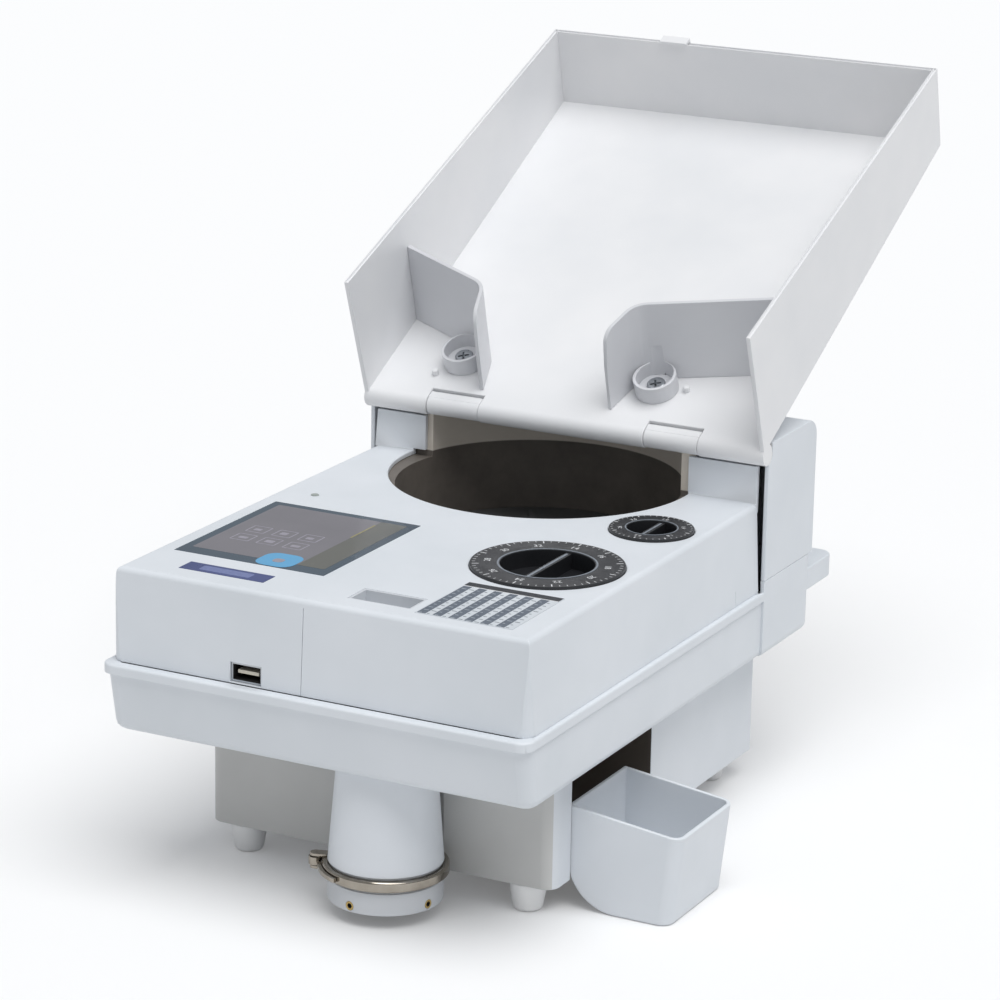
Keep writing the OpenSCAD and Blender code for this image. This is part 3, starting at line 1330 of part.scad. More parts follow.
module tray_latch() color(shell_grey) tray_frame() translate([latch_x, tray_l + tray_back_lean,
    tray_back_h]) {
    box(latch_w / 2 * [-1, 1], [-tray_wall - 2, 2], [0, 2.5]);
    box(latch_w / 2 * [-1, 1], [0.3, 2], [-9, 1]);
}

in_frame() base_pan();
in_frame() feet();
in_frame() rear_handle();
in_frame() top_cover();
in_frame() cover_screws();
in_frame() rear_housing();
in_frame() hinge_pins();
in_frame() hopper_bowl();
in_frame() chassis_plate();
in_frame() chassis_screws();
in_frame() bearing_housing();
in_frame() disc_bearings();
in_frame() drive_motor();
in_frame() motor_plate();
in_frame() drive_belt();
in_frame() coin_rail();
in_frame() reject_chute();
in_frame() coin_chute();
in_frame() coin_sensor();
in_frame() stop_solenoid();
in_frame() transport_frame();
in_frame() transport_motor();
in_frame() transport_belt();
in_frame() display_lens();
in_frame() display_module();
in_frame() control_board();
in_frame() status_lens();
in_frame() accent_strip();
in_frame() setting_table();
in_frame() pull_recess();
in_frame() data_socket();
in_frame() power_supply();
in_frame() inlet_socket();
in_frame() coin_spout();
in_frame() bag_collar();
in_frame() collar_screws();
in_frame() clamp_ring();
in_frame() feed_disc();
in_frame() disc_cap();
in_frame() disc_shaft();
in_frame() disc_pulley();
in_frame() motor_pulley();
in_frame() transport_pulley();
in_frame() idler_pulley();
in_frame() diameter_dial();
in_frame() dial_pinion();
in_frame() diameter_gate();
in_frame() thickness_dial();
in_frame() thickness_gate();
in_frame() stop_pin();
in_frame() power_rocker();
in_frame() clamp_lever();
in_frame() reject_bin();
in_frame() hopper_tray();
in_frame() left_guide();
in_frame() right_guide();
in_frame() guide_screws();
in_frame() tray_latch();
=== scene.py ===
import json
import math

import bmesh
import bpy
from mathutils import Matrix, Vector

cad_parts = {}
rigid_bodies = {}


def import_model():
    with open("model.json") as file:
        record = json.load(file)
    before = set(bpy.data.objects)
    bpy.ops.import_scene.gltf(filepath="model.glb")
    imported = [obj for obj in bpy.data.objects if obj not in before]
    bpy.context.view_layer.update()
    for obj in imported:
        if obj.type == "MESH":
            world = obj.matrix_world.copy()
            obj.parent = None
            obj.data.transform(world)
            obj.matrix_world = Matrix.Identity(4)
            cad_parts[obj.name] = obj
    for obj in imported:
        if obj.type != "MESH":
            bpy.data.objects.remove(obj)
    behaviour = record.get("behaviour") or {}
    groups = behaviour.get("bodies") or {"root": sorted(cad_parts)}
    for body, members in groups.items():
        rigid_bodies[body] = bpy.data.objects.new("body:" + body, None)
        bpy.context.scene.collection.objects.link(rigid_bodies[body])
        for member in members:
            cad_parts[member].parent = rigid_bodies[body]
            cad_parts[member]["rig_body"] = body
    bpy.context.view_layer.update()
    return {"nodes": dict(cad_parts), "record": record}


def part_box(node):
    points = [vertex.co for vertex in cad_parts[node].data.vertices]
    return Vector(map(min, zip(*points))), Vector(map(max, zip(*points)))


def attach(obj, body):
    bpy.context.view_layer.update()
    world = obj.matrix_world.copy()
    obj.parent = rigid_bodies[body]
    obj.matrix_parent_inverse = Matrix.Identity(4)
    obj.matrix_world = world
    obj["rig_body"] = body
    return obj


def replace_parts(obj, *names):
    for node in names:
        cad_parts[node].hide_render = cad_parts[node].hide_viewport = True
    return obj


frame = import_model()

bpy.ops.object.select_all(action="DESELECT")
scene = bpy.context.scene
scene.view_settings.view_transform = "Standard"

MM = 0.001
SLOTS = {part["node"]: part["material_slot"] for part in frame["record"]["subparts"]}


# Places that come from the frame

def middle(node):
    """The middle of a CAD node's box."""
    low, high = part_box(node)
    return (low + high) / 2


pan_low, pan_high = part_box("base_pan")
centre_x = (pan_low.x + pan_high.x) / 2
rim_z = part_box("top_cover")[0].z
panel_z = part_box("display_lens")[1].z
cover_low, cover_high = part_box("top_cover")
hinge = middle("hinge_pins")
TRAY_TILT = math.radians(28)
LIP_R = 7 * MM


# Modelling helpers

MERGE = 0.002 * MM
FLAT = math.radians(0.4)


def only(piece):
    """Makes one object the whole selection and the active one."""
    bpy.ops.object.select_all(action="DESELECT")
    piece.select_set(True)
    bpy.context.view_layer.objects.active = piece
    return piece


def editing(piece, kind="FACE"):
    """Opens a piece in edit mode with everything selected."""
    only(piece)
    bpy.ops.object.mode_set(mode="EDIT")
    bpy.ops.mesh.select_mode(type=kind)
    bpy.ops.mesh.select_all(action="SELECT")


def done():
    """Leaves edit mode."""
    bpy.ops.object.mode_set(mode="OBJECT")


def pick_faces(piece, test):
    """Selects the faces whose middle and normal pass the test, and leaves the piece in edit mode."""
    editing(piece)
    bpy.ops.mesh.select_all(action="DESELECT")
    done()
    for face in piece.data.polygons:
        face.select = test(face.center, face.normal)
    bpy.ops.object.mode_set(mode="EDIT")


def apply_place(piece):
    """Puts a piece's place, turn and scale into its mesh."""
    only(piece)
    bpy.ops.object.transform_apply(location=True, rotation=True, scale=True)
    return piece


def apply_all(piece):
    """Applies a piece's modifiers."""
    only(piece)
    for modifier in list(piece.modifiers):
        bpy.ops.object.modifier_apply(modifier=modifier.name)
    return piece


def smooth(piece, degrees=32):
    """Smooth shading, broken at edges sharper than an angle."""
    only(piece)
    bpy.ops.object.shade_smooth_by_angle(angle=math.radians(degrees))
    return piece


def dress(piece, material, body):
    """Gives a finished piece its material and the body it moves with."""
    piece.data.materials.clear()
    piece.data.materials.append(material)
    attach(piece, body)
    return piece


def tint(piece, material, test):
    """Gives the faces that pass a test a second material."""
    piece.data.materials.append(material)
    pick_faces(piece, test)
    piece.active_material_index = len(piece.data.materials) - 1
    bpy.ops.object.material_slot_assign()
    done()


def cad_copy(node, name):
    """A copy of a CAD node as one closed skin: doubles merged, flat triangles melted into few faces."""
    piece = bpy.data.objects.new(name, frame["nodes"][node].data.copy())
    scene.collection.objects.link(piece)
    only(piece)
    bpy.ops.mesh.customdata_custom_splitnormals_clear()
    editing(piece, "VERT")
    bpy.ops.mesh.remove_doubles(threshold=MERGE)
    bpy.ops.mesh.dissolve_limited(angle_limit=FLAT, delimit={"NORMAL"})
    bpy.ops.mesh.vert_connect_concave()
    done()
    return piece


def standing_edges(mesh, sharp=28):
    """Numbers of the edges that stand out sharper than an angle: inner corners are left as they are."""
    reader = bmesh.new()
    reader.from_mesh(mesh)
    limit = math.radians(sharp)
    found = {edge.index for edge in reader.edges
             if len(edge.link_faces) == 2 and edge.is_convex and edge.calc_face_angle() > limit}
    reader.free()
    return found


def middle_of(mesh, number):
    """The middle of an edge, by its number."""
    ends = mesh.edges[number].vertices
    return (mesh.vertices[ends[0]].co + mesh.vertices[ends[1]].co) / 2


def bevel_edges(piece, widths, segments):
    """Bevels edges, each by its own width. Widths maps an edge's number to its width."""
    widest = max(widths.values())
    weights = piece.data.attributes.new("bevel_weight_edge", "FLOAT", "EDGE")
    for number, width in widths.items():
        weights.data[number].value = width / widest
    bevel = piece.modifiers.new("rounding", "BEVEL")
    bevel.limit_method = "WEIGHT"
    bevel.width = widest
    bevel.segments = segments
    bevel.use_clamp_overlap = False
    bevel.loop_slide = False
    bevel.miter_outer = "MITER_ARC"
    apply_all(piece)
    piece.data.attributes.remove(piece.data.attributes["bevel_weight_edge"])


def round_corners(piece, spots, segments):
    """Rounds only the edges that a spot picks. A spot is (its width, a test of the edge's middle)."""
    widths = {}
    for number in range(len(piece.data.edges)):
        mid = middle_of(piece.data, number)
        own = next((width for width, test in spots if test(mid)), None)
        if own:
            widths[number] = own
    bevel_edges(piece, widths, segments)


def round_edges(piece, width, spots=(), segments=2):
    """Rounds every outer edge by width, and those that a spot picks by the spot's own width."""
    widths = {}
    for number in standing_edges(piece.data):
        mid = middle_of(piece.data, number)
        widths[number] = next((own for own, test in spots if test(mid)), width)
    bevel_edges(piece, widths, segments)
    return even_shading(piece)


def even_shading(piece):
    """Smooth roundings beside flat faces that stay flat: the larger face leads the normal."""
    smooth(piece)
    weighted = piece.modifiers.new("even", "WEIGHTED_NORMAL")
    weighted.mode = "FACE_AREA"
    weighted.weight = 90
    weighted.keep_sharp = True
    return apply_all(piece)


def refill(piece, test):
    """Fills a flat field anew between its outline and its holes, so that no sliver stays folded in it."""
    pick_faces(piece, test)
    bpy.ops.mesh.delete(type="FACE")
    bpy.ops.mesh.select_mode(type="EDGE")
    bpy.ops.mesh.select_all(action="DESELECT")
    bpy.ops.mesh.select_non_manifold(extend=False, use_wire=False, use_multi_face=False,
                                     use_non_contiguous=False, use_verts=False)
    bpy.ops.mesh.fill()
    bpy.ops.mesh.select_all(action="SELECT")
    bpy.ops.mesh.normals_make_consistent(inside=False)
    done()
    bpy.ops.mesh.customdata_custom_splitnormals_clear()
    even_shading(piece)
    pick_faces(piece, test)
    bpy.ops.mesh.set_normals_from_faces()
    done()


def body_of(node):
    """The body that a CAD node moves with."""
    return frame["nodes"][node]["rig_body"]


def moulded(node, material, width, spots=(), segments=2):
    """A CAD piece with its edges rounded as the tool leaves them, in place of the CAD node."""
    piece = round_edges(cad_copy(node, node + "_moulding"), width, spots, segments)
    dress(piece, material, body_of(node))
    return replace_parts(piece, node)


# Materials

def linear(code):
    """sRGB hex to the linear colour that shaders take."""
    parts = [int(code[i:i + 2], 16) / 255 for i in (1, 3, 5)]
    return tuple(p / 12.92 if p <= 0.04045 else ((p + 0.055) / 1.055) ** 2.4 for p in parts) + (1.0,)


def add(tree, kind, props=None, **inputs):
    """Adds a node: props are its settings, inputs are values or sockets to link, by input name."""
    node = tree.nodes.new("ShaderNode" + kind)
    for key, value in (props or {}).items():
        setattr(node, key, value)
    for key, value in inputs.items():
        socket = node.inputs[key.replace("_", " ")]
        if isinstance(value, bpy.types.NodeSocket):
            tree.links.new(value, socket)
        else:
            socket.default_value = value
    return node


def per_metre(size_mm):
    """Texture scale for features of that size."""
    return 1 / (size_mm * MM)


def new_material(name):
    """A material with an empty node tree, and that tree."""
    material = bpy.data.materials.new(name)
    material.use_nodes = True
    material.node_tree.nodes.clear()
    return material, material.node_tree


def close(tree, shader):
    """Ends a material's tree with its shader."""
    add(tree, "OutputMaterial", Surface=shader.outputs[0])


def ramp(tree, factor, low, high, start=0.3, end=0.7):
    """A colour between two hex values, as a factor goes from start to end."""
    node = add(tree, "ValToRGB", Fac=factor)
    node.color_ramp.elements[0].position = start
    node.color_ramp.elements[0].color = linear(low)
    node.color_ramp.elements[1].position = end
    node.color_ramp.elements[1].color = linear(high)
    return node.outputs["Color"]


def moulded_plastic(name, low, high, rough, grain_mm=1.1, relief=0.012, ior=1.54):
    """Injection moulded plastic: soft broad gloss over a fine spark-eroded grain, drawn at about
    twice its real size so that it shows, with the slightly uneven tone of an aged moulding."""
    material, tree = new_material(name)
    place = add(tree, "TexCoord").outputs["Object"]
    patches = add(tree, "TexNoise", Vector=place, Scale=per_metre(85), Detail=3.0, Roughness=0.55)
    grain = add(tree, "TexNoise", Vector=place, Scale=per_metre(grain_mm), Detail=2.0, Roughness=0.6)
    wear = add(tree, "TexNoise", Vector=place, Scale=per_metre(28), Detail=4.0, Roughness=0.65)
    gloss = add(tree, "MapRange", Value=wear.outputs["Fac"], From_Min=0.3, From_Max=0.7,
                To_Min=rough - 0.06, To_Max=rough + 0.06)
    relief_node = add(tree, "Bump", Strength=0.35, Distance=relief * MM, Height=grain.outputs["Fac"])
    close(tree, add(tree, "BsdfPrincipled", Base_Color=ramp(tree, patches.outputs["Fac"], low, high),
                    Roughness=gloss.outputs["Result"], Normal=relief_node.outputs["Normal"], IOR=ior))
    return material


def plated_metal(name, low, high, rough, brush_mm=0.5, brush=(1, 1, 1)):
    """Metal: mirror-like where polished, streaked where it was brushed or turned. Brush stretches
    the streaks along the axis whose factor is smallest."""
    material, tree = new_material(name)
    place = add(tree, "TexCoord").outputs["Object"]
    turned = add(tree, "Mapping", Vector=place, Scale=brush)
    streaks = add(tree, "TexNoise", Vector=turned.outputs["Vector"], Scale=per_metre(brush_mm), Detail=3.0)
    smudges = add(tree, "TexNoise", Vector=place, Scale=per_metre(14), Detail=4.0)
    gloss = add(tree, "MapRange", Value=streaks.outputs["Fac"], From_Min=0.25, From_Max=0.75,
                To_Min=max(rough - 0.05, 0.03), To_Max=rough + 0.07)
    close(tree, add(tree, "BsdfPrincipled", Base_Color=ramp(tree, smudges.outputs["Fac"], low, high),
                    Roughness=gloss.outputs["Result"], Metallic=1.0))
    return material


def smooth_window(name, low, high, rough):
    """Acrylic or polycarbonate sheet: an even tone under a clear, sharp gloss with faint smears."""
    material, tree = new_material(name)
    place = add(tree, "TexCoord").outputs["Object"]
    depth = add(tree, "TexNoise", Vector=place, Scale=per_metre(60), Detail=2.0)
    smears = add(tree, "TexNoise", Vector=place, Scale=per_metre(18), Detail=5.0, Roughness=0.7)
    gloss = add(tree, "MapRange", Value=smears.outputs["Fac"], From_Min=0.35, From_Max=0.75,
                To_Min=rough, To_Max=rough + 0.12)
    close(tree, add(tree, "BsdfPrincipled", Base_Color=ramp(tree, depth.outputs["Fac"], low, high),
                    Roughness=gloss.outputs["Result"], IOR=1.49))
    return material


def scuffed_bowl(name, deep, high, rough, change_z, fade):
    """Moulded polypropylene of the bowl, scuffed in patches: mid grey below the panel, paler than its
    plastic, a painted light in the bowl's shade;
    pale cream above it, a painted light against the tray's shadow on the wall that stands above the panel."""
    material, tree = new_material(name)
    place = add(tree, "TexCoord").outputs["Object"]
    patches = add(tree, "TexNoise", Vector=place, Scale=per_metre(30), Detail=5.0, Roughness=0.65)
    grain = add(tree, "TexNoise", Vector=place, Scale=per_metre(1.8), Detail=2.0, Roughness=0.6)
    height = add(tree, "SeparateXYZ", Vector=place)
    above = add(tree, "MapRange", Value=height.outputs["Z"],
                From_Min=change_z - fade, From_Max=change_z + fade)
    # Pale above the panel: painted light against the tray's shadow
    colour = add(tree, "MixRGB", Fac=above.outputs["Result"],
                 Color1=ramp(tree, patches.outputs["Fac"], *deep),
                 Color2=ramp(tree, patches.outputs["Fac"], *high))
    relief = add(tree, "Bump", Strength=0.35, Distance=0.02 * MM, Height=grain.outputs["Fac"])
    close(tree, add(tree, "BsdfPrincipled", Base_Color=colour.outputs["Color"], Roughness=rough,
                    Normal=relief.outputs["Normal"], IOR=1.49))
    return material


def printed_ink(name, low, high, rough=0.5):
    """Pad-printed ink: flat and opaque, a little mottled where the pad lifted."""
    material, tree = new_material(name)
    place = add(tree, "TexCoord").outputs["Object"]
    mottle = add(tree, "TexNoise", Vector=place, Scale=per_metre(1.6), Detail=3.0)
    close(tree, add(tree, "BsdfPrincipled", Base_Color=ramp(tree, mottle.outputs["Fac"], low, high),
                    Roughness=rough, IOR=1.5))
    return material


# Light grey ABS of the casing, moulded with a fine texture: cool, soft highlights
casing_abs = moulded_plastic("casing_grey_moulded_abs", "#D8DDE2", "#E0E4E9", rough=0.42)
# Near white ABS of the tray, rubbed smooth by what slides down it
tray_abs = moulded_plastic("tray_white_moulded_abs", "#E3E4E6", "#EBEBEC",
                           rough=0.38, grain_mm=1.4, relief=0.008)
# Grey ABS of the flow guides, a shade darker than the tray: painted shade of the guides' leaning fronts
guide_painted_shade_abs = moulded_plastic("guide_grey_painted_shade_abs", "#CFD0D4", "#D7D8DB",
                            rough=0.4, grain_mm=1.3, relief=0.01)
# Mid grey ABS of the pull recess, darker than the casing: painted shade of the hollow, dull
pull_painted_shade_abs = moulded_plastic("pull_recess_grey_painted_shade", "#C9CDD2", "#D2D5D9", rough=0.48)
# Warmer, darker grey of the lower box's front than the casing's: painted shade of the band that overhangs
# it
box_painted_shade_abs = moulded_plastic("box_front_grey_painted_shade_abs", "#C2C2C0", "#C9C9C7", rough=0.45)
# Brown-grey of the bin recess's walls and roof: painted shade of the hollow under the casing, dull so that
# it stays dark
recess_painted_shade = moulded_plastic("recess_brown_painted_shade", "#4E463F", "#5B534B",
                               rough=0.6, grain_mm=1.8, relief=0.02, ior=1.49)
# Grey nylon of the bag collar: satin, a little darker than the casing
collar_nylon = moulded_plastic("collar_grey_moulded_nylon", "#C6C9CD", "#CFD2D6", rough=0.4, ior=1.53)
# White thermoplastic rubber of the feet: dull, soft edges
foot_rubber = moulded_plastic("foot_white_moulded_rubber", "#EEEEEE", "#F6F6F5",
                              rough=0.5, grain_mm=1.6, relief=0.02, ior=1.52)
# Grey polyurethane face of the feed disc: dull and rubbed, and paler than its own colour: painted light
# that lifts the bowl's shade
disc_face_painted_light = moulded_plastic("disc_grey_polyurethane_painted_light", "#58595A", "#6C6D6D",
                            rough=0.55, grain_mm=2.2, relief=0.03, ior=1.5)
# Grey acetal of the works inside: even and satin
inner_acetal = moulded_plastic("inner_grey_moulded_acetal", "#6B6C6F", "#77787B", rough=0.45, ior=1.48)
# Black ABS of the dials: satin, with a thin sheen on its rims
dial_abs = moulded_plastic("dial_black_moulded_abs", "#1B1C1F", "#26272A",
                           rough=0.36, grain_mm=1.0, relief=0.012)
# Black rubber of belts, discs and sockets: matt
black_rubber = moulded_plastic("black_moulded_rubber", "#1A1A1B", "#242425",
                               rough=0.68, grain_mm=1.8, relief=0.03, ior=1.52)
# Smoked polycarbonate window over the display: slate blue under a sharp gloss
smoked_window = smooth_window("display_smoked_polycarbonate", "#2F4150", "#384B5A", rough=0.08)
# Navy polyester overlay of the accent strip: satin
navy_overlay = smooth_window("strip_navy_polyester", "#323E72", "#3F4B80", rough=0.25)
# Pale polyester overlay of the setting table: satin, so that the print stays clear
table_overlay = smooth_window("table_grey_polyester", "#C9CFD5", "#D3D8DD", rough=0.3)
# Clear acrylic of the status lamp: unlit, grey with a small highlight
lamp_acrylic = smooth_window("lamp_clear_acrylic", "#8E9691", "#A9B0AB", rough=0.15)
# Chrome plate of the clamp ring, nearly a mirror: warm and darkened, a painted reflection of dark, warm
# surroundings
chrome_painted_reflection = plated_metal("ring_chrome_painted_reflection", "#918A80", "#ADA69B", rough=0.1)
# Zinc plated steel of screws and plates: bluish, half bright
zinc_steel = plated_metal("zinc_plated_steel", "#A9ADB2", "#BFC3C7",
                          rough=0.3, brush_mm=0.6, brush=(1, 0.15, 1))
# Yellow passivated steel of the collar screws: brassy, half bright
yellow_zinc = plated_metal("yellow_zinc_plated_steel", "#A98F58", "#C0A76E", rough=0.28, brush_mm=0.6)
# Turned brass of pulleys and pinion: yellow, half bright
turned_brass = plated_metal("turned_brass", "#B8944E", "#C9A862", rough=0.28, brush_mm=0.4)
# Green solder mask of the circuit board: satin
board_mask = smooth_window("board_green_solder_mask", "#14502E", "#1C6239", rough=0.35)
# White, grey and dark inks of the dial marks and table print: flat and opaque
white_ink = printed_ink("white_pad_ink", "#D8DADC", "#E6E7E8")
grey_ink = printed_ink("grey_pad_ink", "#7C838B", "#8A9199")
dark_ink = printed_ink("dark_pad_ink", "#2B2D31", "#37393E")

# Polypropylene of the bowl: dull and scuffed; lifted mid grey below the panel and pale cream above it, both
# painted light against the shade there
bowl_plastic_painted_light = scuffed_bowl("bowl_polypropylene_painted_light", ("#625C56", "#777069"), ("#E0D7CA", "#E8DFD3"),
                            rough=0.5, change_z=panel_z + 0.5 * MM, fade=0.3 * MM)
# Cream liquid-crystal polymer of the socket's tongue: dull
tongue_polymer = moulded_plastic("tongue_cream_moulded_polymer", "#DCD5C4", "#E6E0D0",
                                 rough=0.45, ior=1.6)

# The bowl and the feed disc carry painted light against the shade they stand in
BY_NODE = {"hopper_bowl": bowl_plastic_painted_light, "feed_disc": disc_face_painted_light}
BY_SLOT = {
    "shell": casing_abs, "tray": tray_abs, "collar": collar_nylon, "foot": foot_rubber,
    "inner_plastic": inner_acetal, "dial": dial_abs, "screen": smoked_window, "accent": navy_overlay,
    "table_plate": table_overlay, "lamp": lamp_acrylic, "board": board_mask, "rubber": black_rubber,
    "chrome": chrome_painted_reflection, "brass": turned_brass, "steel": zinc_steel,
}
for node, cad in frame["nodes"].items():
    cad.data.materials.clear()
    cad.data.materials.append(BY_NODE.get(node, BY_SLOT[SLOTS[node]]))


# Casing

COVER_EDGE = 0.3 * MM
COVER_ROUND = 3.2 * MM
HOLE_ROUND = 0.9 * MM
HOLE_RINGS = (
    ("feed_disc", 84 * MM, 125 * MM),
    ("diameter_dial", 45 * MM, 49 * MM),
    ("thickness_dial", 25 * MM, 29 * MM),
)
GROOVE = 0.35 * MM
GROOVE_ROUND = 0.04 * MM
SEAM_OFF = 9 * MM
SEAM_DEEP = 3.4 * MM
SEAM_FIELD = 5 * MM
SEAM_TOP = 5 * MM
NOTCH_OFF = 37 * MM
NOTCH_DEEP = 1.2 * MM
NOTCH_TALL = 10 * MM
SLACK = 1 * MM


def near(value, target, reach=0.05 * MM):
    """Whether a value lies within reach of its target."""
    return abs(value - target) < reach


def block(name, low, high):
    """The start of a cutter or of a small piece: a cube stretched between two corners."""
    low, high = Vector(low), Vector(high)
    bpy.ops.mesh.primitive_cube_add(size=1, location=(low + high) / 2, scale=high - low)
    piece = apply_place(bpy.context.active_object)
    piece.name = name
    return piece


def carve(piece, cutter):
    """Cuts one piece with another and removes the cutter."""
    cut = piece.modifiers.new("cut", "BOOLEAN")
    cut.object = cutter
    cut.solver = "EXACT"
    apply_all(piece)
    bpy.data.objects.remove(cutter)
    return piece


def on_panel_rim(mid):
    """The cover's outer top edge, away from the holes in the panel."""
    edge = 3.4 * MM
    corner = 12 * MM
    at_side = abs(mid.x - centre_x) > cover_high.x - centre_x - edge
    at_front = mid.y < cover_low.y + edge
    at_corner = abs(mid.x - centre_x) > cover_high.x - centre_x - corner and mid.y < cover_low.y + corner
    return near(mid.z, panel_z) and (at_side or at_front or at_corner)


def on_panel_hole(mid):
    """The panel's edge round the bowl and the two dials, which is softly rounded."""
    if not near(mid.z, panel_z):
        return False
    return any(low < (mid.xy - middle(node).xy).length < high for node, low, high in HOLE_RINGS)


def in_groove(mid):
    """The edges of the cover's two seam lines."""
    in_seam = near(mid.x, seam_x, GROOVE) and mid.y < cover_low.y + SEAM_FIELD
    return in_seam or near(mid.y, notch_y, GROOVE)


seam_x = centre_x - SEAM_OFF
notch_y = cover_high.y - NOTCH_OFF
cover = cad_copy("top_cover", "top_cover_moulding")
carve(cover, block("seam", (seam_x - GROOVE / 2, cover_low.y - SLACK, rim_z - SLACK),
                   (seam_x + GROOVE / 2, cover_low.y + SEAM_DEEP, panel_z - SEAM_TOP)))
carve(cover, block("notch", (cover_high.x - NOTCH_DEEP, notch_y - GROOVE / 2, rim_z - SLACK),
                   (cover_high.x + SLACK, notch_y + GROOVE / 2, rim_z + NOTCH_TALL)))
round_edges(cover, COVER_EDGE, [
    (GROOVE_ROUND, in_groove),
    (COVER_ROUND, on_panel_rim),
    (HOLE_ROUND, on_panel_hole),
], 4)
refill(cover, lambda mid, normal: near(mid.z, panel_z, 0.02 * MM) and abs(normal.z) > 0.9)
dress(cover, casing_abs, "casing")
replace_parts(cover, "top_cover")

bin_low, bin_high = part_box("reject_bin")
BOX_RIGHT = 94 * MM
RECESS_X = 21 * MM
RECESS_Y = 108.5 * MM
RECESS_Z = 88 * MM


def in_recess(mid, normal):
    """The walls and the roof of the recess that the bin slides into, which are given the painted shade of
    the hollow.
    """
    slack = 0.7 * MM
    inside_x = RECESS_X - slack < mid.x < BOX_RIGHT - slack
    inside_y = bin_low.y - 2 * slack < mid.y < bin_low.y + RECESS_Y + slack
    return inside_x and inside_y and mid.z < RECESS_Z + slack


spout = middle("coin_spout")
PAN_EDGE = 0.4 * MM
RIM_ROUND = 1.4 * MM
BAND_ROUND = 6 * MM
BAND_Z = 95 * MM
SPOUT_CLEAR = 36 * MM
CORNER_R = 9.5 * MM
CORNER_OUT = 4 * MM
CORNER_EASE = 0.03 * MM
CORNER_LONG = 200 * MM
BEAD = 1.5 * MM
BEAD_TALL = 6 * MM
BEAD_Z = rim_z - BEAD_TALL
BAND_TAPER = 9 * MM


def corner_cutter(side):
    """What a rounded front corner of the band leaves out, leaning as the band's front does."""
    low_z = BAND_Z - SLACK
    slope = BAND_TAPER / (rim_z - BAND_Z)
    reach = (CORNER_R + CORNER_OUT) * side
    front = pan_low.y + BEAD + slope * (rim_z - low_z)
    foot = Vector((centre_x + side * (pan_high.x - centre_x - BEAD - CORNER_R + CORNER_EASE),
                   front + CORNER_R - CORNER_EASE, low_z))
    cutter = block("corner", (min(0, reach), -CORNER_R - CORNER_OUT, 0),
                   (max(0, reach), 0, BEAD_Z - low_z))
    bpy.ops.object.select_all(action="DESELECT")
    bpy.ops.mesh.primitive_cylinder_add(vertices=64, radius=CORNER_R, depth=CORNER_LONG)
    carve(cutter, bpy.context.active_object)
    pick_faces(cutter, lambda mid, normal: normal.z > 0.9)
    bpy.ops.transform.translate(value=(0, -slope * (BEAD_Z - low_z), 0))
    done()
    cutter.location = foot
    return apply_place(cutter)


def under_band(mid):
    """The band's lower edge, away from the spout."""
    return near(mid.z, BAND_Z) and (mid.xy - spout.xy).length > SPOUT_CLEAR


def under_bead(mid):
    """The inner corner below the bead, which stays sharp."""
    return near(mid.z, BEAD_Z) and pan_low.y + BEAD < mid.y < pan_low.y + 2 * BEAD


def on_box_front(mid, normal):
    """The front of the lower box, which is given painted shade from the band above it."""
    return normal.y < -0.7 and mid.z < BAND_Z - SLACK and mid.x < BOX_RIGHT - SLACK


pan = cad_copy("base_pan", "base_pan_moulding")
carve(pan, corner_cutter(-1))
carve(pan, corner_cutter(1))
round_edges(pan, PAN_EDGE, [
    (BAND_ROUND, under_band),
    (RIM_ROUND, lambda mid: near(mid.z, rim_z)),
    (0, under_bead),
], 4)
dress(pan, casing_abs, "casing")
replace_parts(pan, "base_pan")
# The lower box's front gets a darker grey: painted shade under the band
tint(pan, box_painted_shade_abs, on_box_front)
# The recess's walls and roof are painted dark brown: painted shade of the hollow
tint(pan, recess_painted_shade, in_recess)

BIN_WALL = 2.5 * MM
BIN_CORNER = 8 * MM
BIN_EDGE = 1.4 * MM
BIN_RIM = 0.8 * MM
BIN_RIM_Z = 50 * MM
BIN_END = 12 * MM
UPRIGHT_LOW = 12 * MM
UPRIGHT_HIGH = 45 * MM


def bin_upright(inset):
    """A test for the upright corners at the bin's outer end, at a depth inside its walls."""
    return lambda mid: (mid.x > bin_high.x - BIN_END and UPRIGHT_LOW < mid.z < UPRIGHT_HIGH
                        and (near(mid.y, bin_low.y + inset) or near(mid.y, bin_high.y - inset)))


tub = cad_copy("reject_bin", "reject_bin_moulding")
editing(tub, "VERT")
bpy.ops.mesh.dissolve_limited(angle_limit=FLAT)
done()
round_corners(tub, [(BIN_CORNER, bin_upright(0)), (BIN_CORNER - BIN_WALL, bin_upright(BIN_WALL))], 6)
round_edges(tub, BIN_EDGE, [(BIN_RIM, lambda mid: mid.z > BIN_RIM_Z)], 3)
dress(tub, casing_abs, "reject_bin")
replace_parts(tub, "reject_bin")


def on_knuckle(mid, normal):
    """The housing's two hinge knuckles, which have the tray's colour."""
    return (mid.yz - hinge.yz).length < LIP_R + SLACK and mid.z > hinge.z - LIP_R


housing = moulded("rear_housing", casing_abs, width=0.8 * MM)
tint(housing, tray_abs, on_knuckle)
moulded("rear_handle", casing_abs, width=1.2 * MM, segments=3)
moulded("feet", foot_rubber, width=0.8 * MM)

RIM_ABOVE = 30 * MM
RIM_EDGE = 0.35 * MM
RIM_GROOVE = 1.4 * MM
tray_up = Matrix.Rotation(TRAY_TILT, 3, "X") @ Vector((0, 0, 1))


def on_tray_rim(mid, normal):
    """The flat top of the tray's walls."""
    return normal.dot(tray_up) > 0.97 and (mid - hinge).dot(tray_up) > RIM_ABOVE


